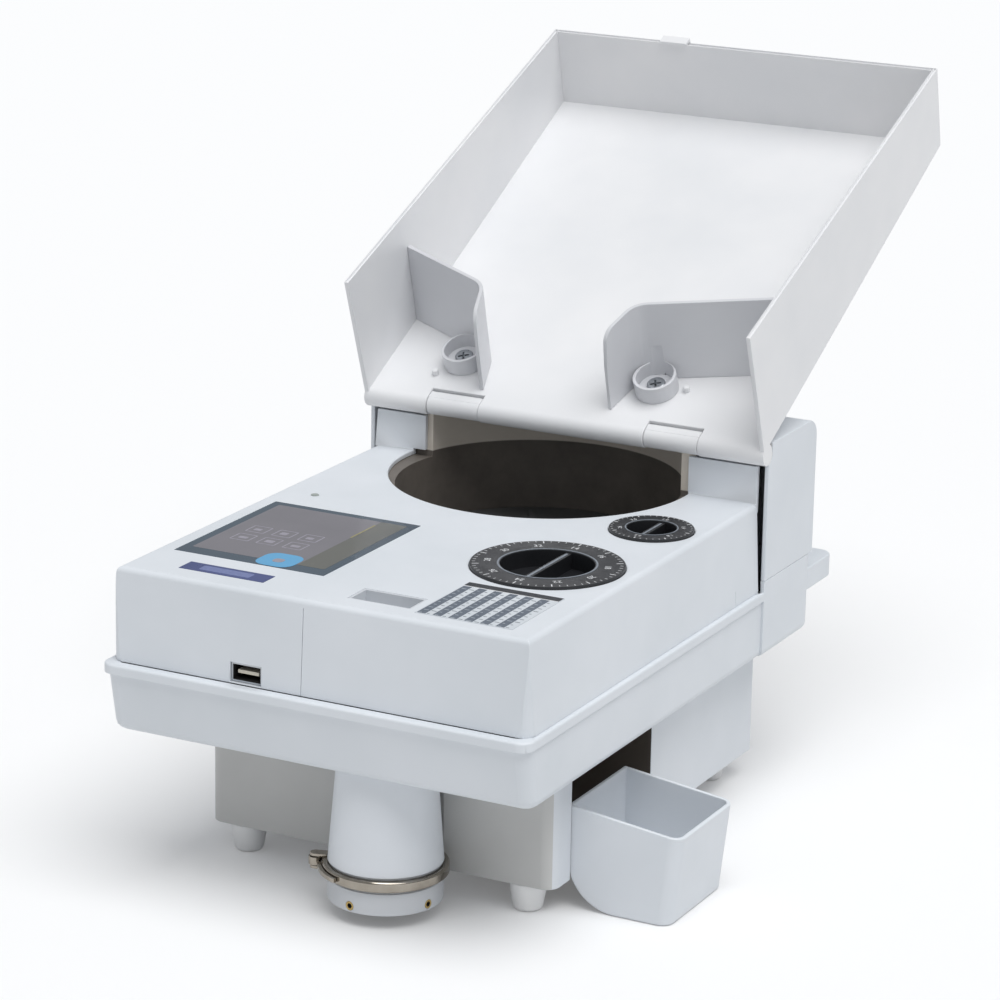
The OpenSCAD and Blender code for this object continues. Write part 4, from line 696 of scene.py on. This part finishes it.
tray = moulded("hopper_tray", tray_abs, width=0.6 * MM)
pick_faces(tray, on_tray_rim)
bpy.ops.mesh.inset(thickness=RIM_EDGE, depth=-RIM_GROOVE)
done()
bpy.ops.mesh.customdata_custom_splitnormals_clear()
even_shading(tray)
moulded("tray_latch", tray_abs, width=0.5 * MM)
moulded("bag_collar", collar_nylon, width=0.5 * MM)
# Ring and lever carry the chrome's painted reflection
moulded("clamp_ring", chrome_painted_reflection, width=0.4 * MM)
moulded("clamp_lever", chrome_painted_reflection, width=0.4 * MM)
moulded("diameter_dial", dial_abs, width=0.5 * MM)
moulded("thickness_dial", dial_abs, width=0.4 * MM)
# The pull recess is given a darker grey: painted shade of the hollow
moulded("pull_recess", pull_painted_shade_abs, width=0.4 * MM)


# Screws and socket

SCREW_AT = (261, 346)
SCREW_R = 33.9 * MM
SOCKET_R = 1.7 * MM
SOCKET_DEEP = 2 * MM
SOCKET_SLACK = 0.1 * MM
SCREW_EDGE = 0.12 * MM
screw_z = middle("collar_screws").z
screws = cad_copy("collar_screws", "collar_screw_heads")
for angle in SCREW_AT:
    axis = Matrix.Translation((spout.x, spout.y, screw_z)) @ Matrix.Rotation(math.radians(angle), 4, "Z")
    bpy.ops.object.select_all(action="DESELECT")
    bpy.ops.mesh.primitive_cylinder_add(vertices=6, radius=SOCKET_R, depth=2 * SOCKET_DEEP)
    hexagon = bpy.context.active_object
    lying = Matrix.Rotation(math.radians(90), 4, "Y")
    hexagon.matrix_world = axis @ Matrix.Translation((SCREW_R, 0, 0)) @ lying
    carve(screws, apply_place(hexagon))
round_edges(screws, SCREW_EDGE)
dress(screws, yellow_zinc, body_of("collar_screws"))
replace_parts(screws, "collar_screws")


def in_hexagon(mid, normal):
    """The walls and the floor of the sockets in the collar screws, which are painted black as their shade.
    """
    off_axis = min(abs((mid - spout).xy.cross(Vector((math.cos(a), math.sin(a)))))
                   for a in (math.radians(angle) for angle in SCREW_AT))
    out = (mid - spout).xy.length
    in_depth = SCREW_R - SOCKET_DEEP - SOCKET_SLACK < out < SCREW_R - 2 * SOCKET_SLACK
    return in_depth and math.hypot(off_axis, mid.z - screw_z) < SOCKET_R


# The screws' hex sockets are painted black: painted shade of the hollows
tint(screws, black_rubber, in_hexagon)

socket = cad_copy("data_socket", "data_socket_shell")
dress(socket, zinc_steel, "casing")
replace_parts(socket, "data_socket")
SOCKET_MOUTH = Vector((-69, -286.4, 145.6)) * MM
MOUTH_HALF = (9.3 * MM, 4.8 * MM)
TONGUE_HALF = (7.1 * MM, 1.1 * MM)


def in_mouth(half):
    """A test for faces behind the socket's mouth, within half a width and half a height."""
    return lambda mid, normal: (near(mid.x, SOCKET_MOUTH.x, half[0])
                                and near(mid.z, SOCKET_MOUTH.z, half[1])
                                and mid.y > SOCKET_MOUTH.y + SLACK)


# Faces inside the socket's mouth are painted black: painted shade of the cavity; the tongue keeps its own
# cream colour
tint(socket, black_rubber, in_mouth(MOUTH_HALF))
tint(socket, tongue_polymer, in_mouth(TONGUE_HALF))


# Flat printed pieces

PRINT = 0.05 * MM


def plate(name, centre, size, thick, corner=0.0):
    """A flat plate lying at its centre: a plane with its corners rounded, then raised."""
    bpy.ops.mesh.primitive_plane_add(size=1, location=centre)
    piece = bpy.context.active_object
    piece.name = name
    piece.scale = (size[0], size[1], 1)
    apply_place(piece)
    editing(piece, "VERT")
    if corner:
        bpy.ops.mesh.bevel(affect="VERTICES", offset=corner, offset_type="OFFSET", segments=4)
    bpy.ops.mesh.select_mode(type="FACE")
    bpy.ops.mesh.select_all(action="SELECT")
    bpy.ops.mesh.extrude_region_move(TRANSFORM_OT_translate={"value": (0, 0, thick)})
    bpy.ops.mesh.select_all(action="SELECT")
    bpy.ops.mesh.normals_make_consistent(inside=False)
    done()
    return piece


def hollow(piece, width):
    """Takes the middle out of a flat plate, so that an outline of that width is left."""
    pick_faces(piece, lambda mid, normal: abs(normal.z) > 0.9)
    bpy.ops.mesh.inset(thickness=width, depth=0)
    bpy.ops.mesh.delete(type="FACE")
    bpy.ops.mesh.select_mode(type="EDGE")
    bpy.ops.mesh.select_non_manifold()
    bpy.ops.mesh.bridge_edge_loops()
    bpy.ops.mesh.select_all(action="SELECT")
    bpy.ops.mesh.normals_make_consistent(inside=False)
    done()
    return piece


def own_copy(piece, place):
    """A copy with its own mesh, put at a place and its place applied."""
    copy = bpy.data.objects.new(piece.name, piece.data.copy())
    scene.collection.objects.link(copy)
    copy.matrix_world = place
    return apply_place(copy)


def joined(name, pieces):
    """Several meshes as one piece."""
    bpy.ops.object.select_all(action="DESELECT")
    for piece in pieces:
        piece.select_set(True)
    bpy.context.view_layer.objects.active = pieces[0]
    bpy.ops.object.join()
    pieces[0].name = name
    pieces[0].data.name = name
    return pieces[0]


def numeral(words, size):
    """Plain figures as a thin raised mesh about the origin."""
    bpy.ops.object.text_add()
    label = bpy.context.active_object
    label.data.body = words
    label.data.size = size
    label.data.align_x = "CENTER"
    label.data.align_y = "CENTER"
    label.data.resolution_u = 4
    label.data.extrude = PRINT / 2
    bpy.ops.object.convert(target="MESH")
    return bpy.context.active_object


# Dials

LONG_EACH = 5
LONG_TICK = 0.7 * MM
SHORT_TICK = 0.45 * MM
TICK_CORNER = 0.15 * MM
LINE_SUNK = 1 * MM
LINE_THICK = 0.15 * MM
BEAD_THICK = 0.2 * MM


def top_of(node):
    """The middle of a CAD node's upper side."""
    return Vector((middle(node).x, middle(node).y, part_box(node)[1].z))


def dial_print(node, tick_in, tick_out, ticks, figures, figure_r, figure_size):
    """Tick ring and figures printed on a dial's flange. The figures go once round it."""
    top = Matrix.Translation(top_of(node))
    marks = []
    for i in range(ticks):
        long = i % LONG_EACH == 0
        start = tick_in if long else (tick_in + tick_out) / 2
        size = (LONG_TICK if long else SHORT_TICK, tick_out - start)
        tick = plate("tick", (0, (start + tick_out) / 2, 0), size, PRINT, TICK_CORNER)
        marks.append(own_copy(tick, top @ Matrix.Rotation(2 * math.pi * i / ticks, 4, "Z")))
        bpy.data.objects.remove(tick)
    for i, words in enumerate(figures):
        turn = Matrix.Rotation(-2 * math.pi * i / len(figures), 4, "Z")
        label = numeral(words, figure_size)
        marks.append(own_copy(label, top @ turn @ Matrix.Translation((0, figure_r, PRINT / 2))))
        bpy.data.objects.remove(label)
    return dress(joined(node + "_print", marks), white_ink, body_of(node))


def grip_line(node, length, width):
    """Pale pointer line let into the top of a dial's grip bar."""
    centre = top_of(node) - Vector((0, 0, LINE_SUNK))
    line = plate(node + "_pointer", centre, (width, length), LINE_THICK, width * 0.4)
    return dress(line, grey_ink, body_of(node))


def cup_bead(node, radius, width):
    """A pale ring round the mouth of a dial's cup."""
    bpy.ops.object.select_all(action="DESELECT")
    bpy.ops.mesh.primitive_circle_add(vertices=96, radius=radius, fill_type="NGON",
                                      location=top_of(node))
    ring = apply_place(bpy.context.active_object)
    ring.name = node + "_cup_bead"
    editing(ring)
    bpy.ops.mesh.extrude_region_move(TRANSFORM_OT_translate={"value": (0, 0, BEAD_THICK)})
    done()
    return dress(hollow(ring, width), grey_ink, body_of(node))


cup_bead("diameter_dial", radius=29.8 * MM, width=1.1 * MM)
cup_bead("thickness_dial", radius=16.3 * MM, width=0.7 * MM)
BIG_FIGURES = [str(size) for size in range(14, 34, 2)]
SMALL_FIGURES = ["1.0", "1.4", "1.8", "2.2", "2.6", "3.0"]
dial_print("diameter_dial", tick_in=40.5 * MM, tick_out=44.6 * MM, ticks=60,
           figures=BIG_FIGURES, figure_r=35.6 * MM, figure_size=5.6 * MM)
dial_print("thickness_dial", tick_in=22.6 * MM, tick_out=25 * MM, ticks=40,
           figures=SMALL_FIGURES, figure_r=19.2 * MM, figure_size=3.6 * MM)
grip_line("diameter_dial", length=52 * MM, width=1.6 * MM)
grip_line("thickness_dial", length=27 * MM, width=1.2 * MM)


# Display

# Lit and unlit parts of the screen behind its window: even tones under the window's gloss
screen_grey = smooth_window("screen_lit_grey_glass", "#6C6A70", "#767379", rough=0.1)
screen_dark = smooth_window("screen_unlit_olive_glass", "#565752", "#5E5E57", rough=0.1)
screen_blue = smooth_window("screen_lit_blue_glass", "#4A97C6", "#58A6D4", rough=0.1)
screen_line = printed_ink("screen_pale_line", "#8E8A96", "#9C98A3", rough=0.15)
screen_amber = printed_ink("screen_amber_line", "#8A8052", "#97905F", rough=0.15)


def print_block(node, name, across, along, rise, corner):
    """A flat block on a CAD plate. Across and along are its ends in mm from the plate's front left
    corner, and rise is the layer of print that it lies in."""
    low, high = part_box(node)
    centre = (low.x + (across[0] + across[1]) / 2 * MM, low.y + (along[0] + along[1]) / 2 * MM,
              high.z + (rise - 1) * PRINT)
    size = ((across[1] - across[0]) * MM, (along[1] - along[0]) * MM)
    return plate(name, centre, size, PRINT, corner)


def screen_block(name, across, along, material, rise=1, corner=1.2 * MM):
    """One block of the screen image."""
    shape = print_block("display_lens", name, across, along, rise, corner)
    return dress(shape, material, "casing")


def screen_frame(name, across, along, width, material):
    """A thin outline: a plate whose middle is inset and taken out."""
    return hollow(screen_block(name, across, along, material, rise=2), width)


LENS_W = 102
LENS_L = 118
MARGIN = 6
FRONT_MARGIN = 11
IMAGE_ALONG = (FRONT_MARGIN, LENS_L - MARGIN)
DARK_COLUMN = 18
COLUMN_X = LENS_W - MARGIN - DARK_COLUMN
DIVIDER_HALF = 0.6
DIVIDER_ALONG = (LENS_L - 44, LENS_L - 14)
KEY_ACROSS = (52, 77)
KEY_ALONG = (1, 26)
KEY_MARK_ACROSS = (61, 68)
KEY_MARK_ALONG = (9, 16)
TILE = 13
TILE_STEP = 18
TILE_ROWS = 2
TILE_COLUMNS = 3
TILES_LEFT = MARGIN + 10
TILES_FRONT = 36
TILE_LINE = 0.9 * MM
SIGN_ACROSS = (3.5, 9.5)
SIGN_ALONG = (4, 8)
moulded("display_lens", smoked_window, width=0.35 * MM)
screen_block("screen_image", (MARGIN, COLUMN_X), IMAGE_ALONG, screen_grey)
screen_block("screen_side_column", (COLUMN_X, LENS_W - MARGIN), IMAGE_ALONG, screen_dark)
screen_block("screen_divider", (COLUMN_X - DIVIDER_HALF, COLUMN_X + DIVIDER_HALF), DIVIDER_ALONG,
             screen_amber, rise=2, corner=0.3 * MM)
screen_block("screen_key", KEY_ACROSS, KEY_ALONG, screen_blue, rise=2, corner=8 * MM)
screen_block("screen_key_mark", KEY_MARK_ACROSS, KEY_MARK_ALONG, screen_line, rise=3, corner=2.5 * MM)
for row in range(TILE_ROWS):
    for column in range(TILE_COLUMNS):
        left = TILES_LEFT + column * TILE_STEP
        front = TILES_FRONT + row * TILE_STEP
        screen_frame("screen_tile_%d%d" % (row, column), (left, left + TILE), (front, front + TILE),
                     TILE_LINE, screen_line)
        # Each sign is a little wider or longer than the one beside it
        screen_block("screen_sign_%d%d" % (row, column),
                     (left + SIGN_ACROSS[0], left + SIGN_ACROSS[1] - row),
                     (front + SIGN_ALONG[0], front + SIGN_ALONG[1] + column % 2),
                     screen_line, rise=2, corner=1 * MM)


# Setting table

OVERLAY_EDGE = 0.05 * MM
moulded("setting_table", table_overlay, OVERLAY_EDGE)


def table_block(name, across, along, rise=1):
    """A flat printed block on the table."""
    return print_block("setting_table", name, across, along, rise, corner=0.2 * MM)


TABLE_W = 62
TABLE_L = 66
TABLE_EDGE = 0.5
HEADER = 7
HEADER_FOOT = TABLE_L - HEADER
COLUMNS = 6
ROWS = 10
RULE_FOOT = HEADER_FOOT - 1
RULE_TOP = HEADER_FOOT - 0.2
STRIPE_START = 1
STRIPE_SHARE = 0.54
STRIPE_TOP = HEADER_FOOT - 1.3
FIRST_ROW = 1.5
MARK_TALL = 0.9
MARK_SHORT = 1.6
MARK_STEP = 0.5
PALE_IN = 1.1
DARK_IN = 6.1
# Pale and slate inks of the table: flat, the slate one in broad stripes
soft_ink = printed_ink("pale_grey_pad_ink", "#9EA5AD", "#AAB1B8")
stripe_ink = printed_ink("stripe_slate_pad_ink", "#59626E", "#656E7A")
pitch = (TABLE_W - 2 * STRIPE_START) / COLUMNS
line = (HEADER_FOOT - STRIPE_START - FIRST_ROW) / ROWS
full_width = (TABLE_EDGE, TABLE_W - TABLE_EDGE)
head = table_block("table_header", full_width, (HEADER_FOOT, TABLE_L - TABLE_EDGE))
dress(head, dark_ink, "casing")
underline = table_block("table_underline", full_width, (RULE_FOOT, RULE_TOP))
dress(underline, white_ink, "casing")
stripes = []
dark_marks = []
pale_marks = []
for column in range(COLUMNS):
    start = STRIPE_START + column * pitch
    stripes.append(table_block("stripe", (start, start + pitch * STRIPE_SHARE), (STRIPE_START, STRIPE_TOP)))
    for row in range(ROWS):
        foot = FIRST_ROW + row * line
        along = (foot, foot + MARK_TALL)
        # Four lengths in a mixed order, so that the rows differ
        long = MARK_SHORT + (row * 7 + column * 5) % 4 * MARK_STEP
        pale_marks.append(table_block("mark", (start + PALE_IN, start + PALE_IN + long), along, rise=2))
        dark_marks.append(table_block("mark", (start + DARK_IN, start + DARK_IN + long), along))
dress(joined("table_stripes", stripes), stripe_ink, "casing")
dress(joined("table_dark_marks", dark_marks), grey_ink, "casing")
dress(joined("table_pale_marks", pale_marks), soft_ink, "casing")

STRIP_PANEL = (34 * MM, 8 * MM)
STRIP_CORNER = 1.5 * MM
moulded("accent_strip", navy_overlay, OVERLAY_EDGE)
# Lavender ink of the strip's paler middle: satin
strip_ink = printed_ink("strip_lavender_pad_ink", "#6570A0", "#727DAC", rough=0.3)
strip_panel = plate("strip_panel", top_of("accent_strip"), STRIP_PANEL, PRINT, STRIP_CORNER)
dress(strip_panel, strip_ink, "casing")


# Tray and guides

CUP_CLEAR = 11.6 * MM
CUP_FLOOR = 3.05 * MM
CUP_CUT = 20 * MM
GUIDE_LEAN = 12 / 52
GUIDE_EDGE = 0.5 * MM
HEAD_R = 6 * MM


def on_tray(x, reach, height):
    """A place on the tray: across, up its slope from the hinge, and square to its floor."""
    axis = Matrix.Translation((x, hinge.y, hinge.z)) @ Matrix.Rotation(TRAY_TILT, 4, "X")
    return axis @ Matrix.Translation((0, reach, height))


def guide_cup_place(side):
    """Where a guide's cup stands on the tray floor, from the screw heads in it."""
    low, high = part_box("guide_screws")
    x = low.x + HEAD_R if side < 0 else high.x - HEAD_R
    along = (low.y + high.y) / 2 - hinge.y
    height = (low.z + high.z) / 2 - hinge.z
    return on_tray(x, along * math.cos(TRAY_TILT) + height * math.sin(TRAY_TILT), LIP_R)


def cupped_guide(node, side):
    """A guide whose screw cup opens into the leaning wall behind it, as a horseshoe."""
    piece = cad_copy(node, node + "_moulding")
    bpy.ops.object.select_all(action="DESELECT")
    bpy.ops.mesh.primitive_cylinder_add(vertices=64, radius=CUP_CLEAR, depth=CUP_CUT,
                                        location=(0, CUP_FLOOR * GUIDE_LEAN, CUP_FLOOR + CUP_CUT / 2))
    cutter = apply_place(bpy.context.active_object)
    pick_faces(cutter, lambda mid, normal: normal.z > 0.9)
    bpy.ops.transform.translate(value=(0, CUP_CUT * GUIDE_LEAN, 0))
    done()
    cutter.matrix_world = guide_cup_place(side)
    carve(piece, apply_place(cutter))
    round_edges(piece, GUIDE_EDGE)
    # The guides' darker grey is painted shade
    dress(piece, guide_painted_shade_abs, "hopper_tray")
    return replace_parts(piece, node)


cupped_guide("left_guide", -1)
cupped_guide("right_guide", 1)

CROSS_L = 7.4 * MM
CROSS_W = 1.3 * MM
CROSS_LOW = 4.2 * MM
CROSS_HIGH = 7 * MM
CROSS_TURNS = (25, 115)
HEAD_ROUND = 1.1 * MM
heads = round_edges(cad_copy("guide_screws", "guide_screw_heads"), HEAD_ROUND, segments=4)
for side in (-1, 1):
    for turn in CROSS_TURNS:
        slit = block("slit", (-CROSS_L / 2, -CROSS_W / 2, CROSS_LOW),
                     (CROSS_L / 2, CROSS_W / 2, CROSS_HIGH))
        slit.matrix_world = guide_cup_place(side) @ Matrix.Rotation(math.radians(turn), 4, "Z")
        carve(heads, apply_place(slit))
dress(heads, zinc_steel, "hopper_tray")
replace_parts(heads, "guide_screws")

PEG_R = 2.2 * MM
PEG_TALL = 4 * MM
PEG_ROUND = 0.8 * MM
PEG_SUNK = 0.2 * MM


def tray_peg(name, x, reach):
    """A small moulded peg on the tray floor."""
    bpy.ops.object.select_all(action="DESELECT")
    bpy.ops.mesh.primitive_cylinder_add(vertices=24, radius=PEG_R, depth=PEG_TALL,
                                        location=(0, 0, PEG_TALL / 2))
    peg = apply_place(bpy.context.active_object)
    peg.name = name
    pick_faces(peg, lambda mid, normal: normal.z > 0.9)
    bpy.ops.mesh.bevel(offset=PEG_ROUND, segments=3)
    done()
    smooth(peg)
    peg.matrix_world = on_tray(centre_x + x, reach, LIP_R - PEG_SUNK)
    return dress(apply_place(peg), tray_abs, "hopper_tray")


tray_peg("tray_peg_right", x=70.7 * MM, reach=38.9 * MM)
tray_peg("tray_peg_left", x=-100 * MM, reach=20.7 * MM)

KNUCKLE_X = 77 * MM
KNUCKLE_W = 37 * MM
PAD_L = 5.2 * MM
PAD_BEHIND = 0.4 * MM
PAD_EDGE = 0.4 * MM
PAD_LOW = 2 * MM
PAD_HIGH = LIP_R - 0.3 * MM


def knuckle_pad(name, x):
    """The flat top of a hinge knuckle, level with the tray floor beside it."""
    pad = block(name, (-KNUCKLE_W / 2, -PAD_BEHIND, PAD_LOW), (KNUCKLE_W / 2, PAD_L, PAD_HIGH))
    round_edges(pad, PAD_EDGE, segments=3)
    pad.matrix_world = on_tray(centre_x + x, 0, 0)
    return dress(apply_place(pad), tray_abs, "casing")


knuckle_pad("left_knuckle_pad", -KNUCKLE_X)
knuckle_pad("right_knuckle_pad", KNUCKLE_X)


# Bowl webs and inlet blades

WEB_Y = 28.1 * MM
WEB_FROM = 100 * MM
WEB_TO = 111 * MM
WEB_THICK = 1 * MM
WEB_BELOW = 5 * MM
WEB_ABOVE = 0.4 * MM
WEB_EDGE = 0.2 * MM


def bowl_web(name, start, end):
    """A small upright web that closes the corner between the bowl and the housing's front."""
    web = block(name, (centre_x + start, WEB_Y, panel_z - WEB_BELOW),
                (centre_x + end, WEB_Y + WEB_THICK, panel_z + WEB_ABOVE))
    round_edges(web, WEB_EDGE)
    return dress(web, bowl_plastic_painted_light, "casing")


bowl_web("bowl_web_left", -WEB_TO, -WEB_FROM)
bowl_web("bowl_web_right", WEB_FROM, WEB_TO)

BLADE_W = 2 * MM
BLADE_H = 4 * MM
BLADE_FRONT = 2 * MM
BLADE_BACK = 4 * MM
BLADE_EDGE = 0.5 * MM


def inlet_blade(name, across, rise):
    """One contact blade standing in the mains inlet."""
    low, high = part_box("inlet_socket")
    x = middle("inlet_socket").x + across
    z = middle("inlet_socket").z + rise
    blade = block(name, (x - BLADE_W / 2, low.y + BLADE_FRONT, z - BLADE_H / 2),
                  (x + BLADE_W / 2, high.y - BLADE_BACK, z + BLADE_H / 2))
    round_edges(blade, BLADE_EDGE)
    return dress(blade, zinc_steel, "casing")


inlet_blade("inlet_blade_left", across=-7 * MM, rise=-2 * MM)
inlet_blade("inlet_blade_middle", across=0, rise=2 * MM)
inlet_blade("inlet_blade_right", across=7 * MM, rise=-2 * MM)


# Stage, light and camera

FLOOR_SIZE = 16.0
FLOOR_DROP = 0.2 * MM
FLOOR_GLOW = 0.13
SKY_LEVEL = 0.45
bpy.ops.mesh.primitive_plane_add(size=FLOOR_SIZE, location=(0, 0, -FLOOR_DROP))
floor = bpy.context.active_object
floor.name = "studio_floor"
# Pale matt paint of the floor, with a faint glow where it is seen: nearly white round the shadow
floor_paint, tree = new_material("studio_floor_paint")
path = add(tree, "LightPath")
seen = add(tree, "Math", {"operation": "MAXIMUM"})
tree.links.new(path.outputs["Is Camera Ray"], seen.inputs[0])
mirrored = add(tree, "Math", {"operation": "MAXIMUM"})
tree.links.new(path.outputs["Is Glossy Ray"], mirrored.inputs[0])
tree.links.new(path.outputs["Is Transmission Ray"], mirrored.inputs[1])
tree.links.new(mirrored.outputs[0], seen.inputs[1])
lift = add(tree, "Math", {"operation": "MULTIPLY"})
tree.links.new(seen.outputs[0], lift.inputs[0])
lift.inputs[1].default_value = FLOOR_GLOW
paint = add(tree, "BsdfDiffuse", Color=linear("#E6E6E6"))
glow = add(tree, "Emission", Color=linear("#FFFFFF"), Strength=lift.outputs[0])
both = tree.nodes.new("ShaderNodeAddShader")
tree.links.new(paint.outputs[0], both.inputs[0])
tree.links.new(glow.outputs[0], both.inputs[1])
close(tree, both)
floor.data.materials.append(floor_paint)

world = bpy.data.worlds.new("studio")
scene.world = world
world.use_nodes = True
tree = world.node_tree
tree.nodes.clear()
sky = add(tree, "Background", Color=linear("#F4F7FB"), Strength=SKY_LEVEL)
add(tree, "OutputWorld", Surface=sky.outputs[0])


def soft_sun(name, towards, strength, spread):
    """A wide sun, which lights floor and object alike, as a large softbox far away does."""
    bpy.ops.object.light_add(type="SUN", location=Vector(towards) * 4)
    lamp = bpy.context.active_object
    lamp.name = name
    lamp.data.energy = strength * math.pi
    lamp.data.angle = math.radians(spread)
    lamp.rotation_euler = (-Vector(towards)).to_track_quat("-Z", "Y").to_euler()
    return lamp


soft_sun("key_sun", towards=(0.22, -0.14, 0.7), strength=0.7, spread=50)

CAMERA_AIM = Vector((-20.5, -66.218, 201.7)) * MM
CAMERA_AWAY = 2390.1 * MM
CAMERA_TURN = math.radians(27.2)
CAMERA_RISE = math.radians(16.33)
CAMERA_ROLL = math.radians(1.07)
CAMERA_SENSOR = 36
CAMERA_LENS = 140.09
back = Vector((math.sin(CAMERA_TURN) * math.cos(CAMERA_RISE),
               -math.cos(CAMERA_TURN) * math.cos(CAMERA_RISE),
               math.sin(CAMERA_RISE)))
level = (-back).cross(Vector((0, 0, 1))).normalized()
upright = level.cross(-back)
right = level * math.cos(CAMERA_ROLL) + upright * math.sin(CAMERA_ROLL)
up = upright * math.cos(CAMERA_ROLL) - level * math.sin(CAMERA_ROLL)
eye = CAMERA_AIM + back * CAMERA_AWAY
bpy.ops.object.camera_add()
camera = bpy.context.active_object
camera.name = "photo_camera"
camera.data.sensor_width = CAMERA_SENSOR
camera.data.lens = CAMERA_LENS
camera.matrix_world = Matrix((
    (right.x, up.x, back.x, eye.x),
    (right.y, up.y, back.y, eye.y),
    (right.z, up.z, back.z, eye.z),
    (0, 0, 0, 1)))
scene.camera = camera
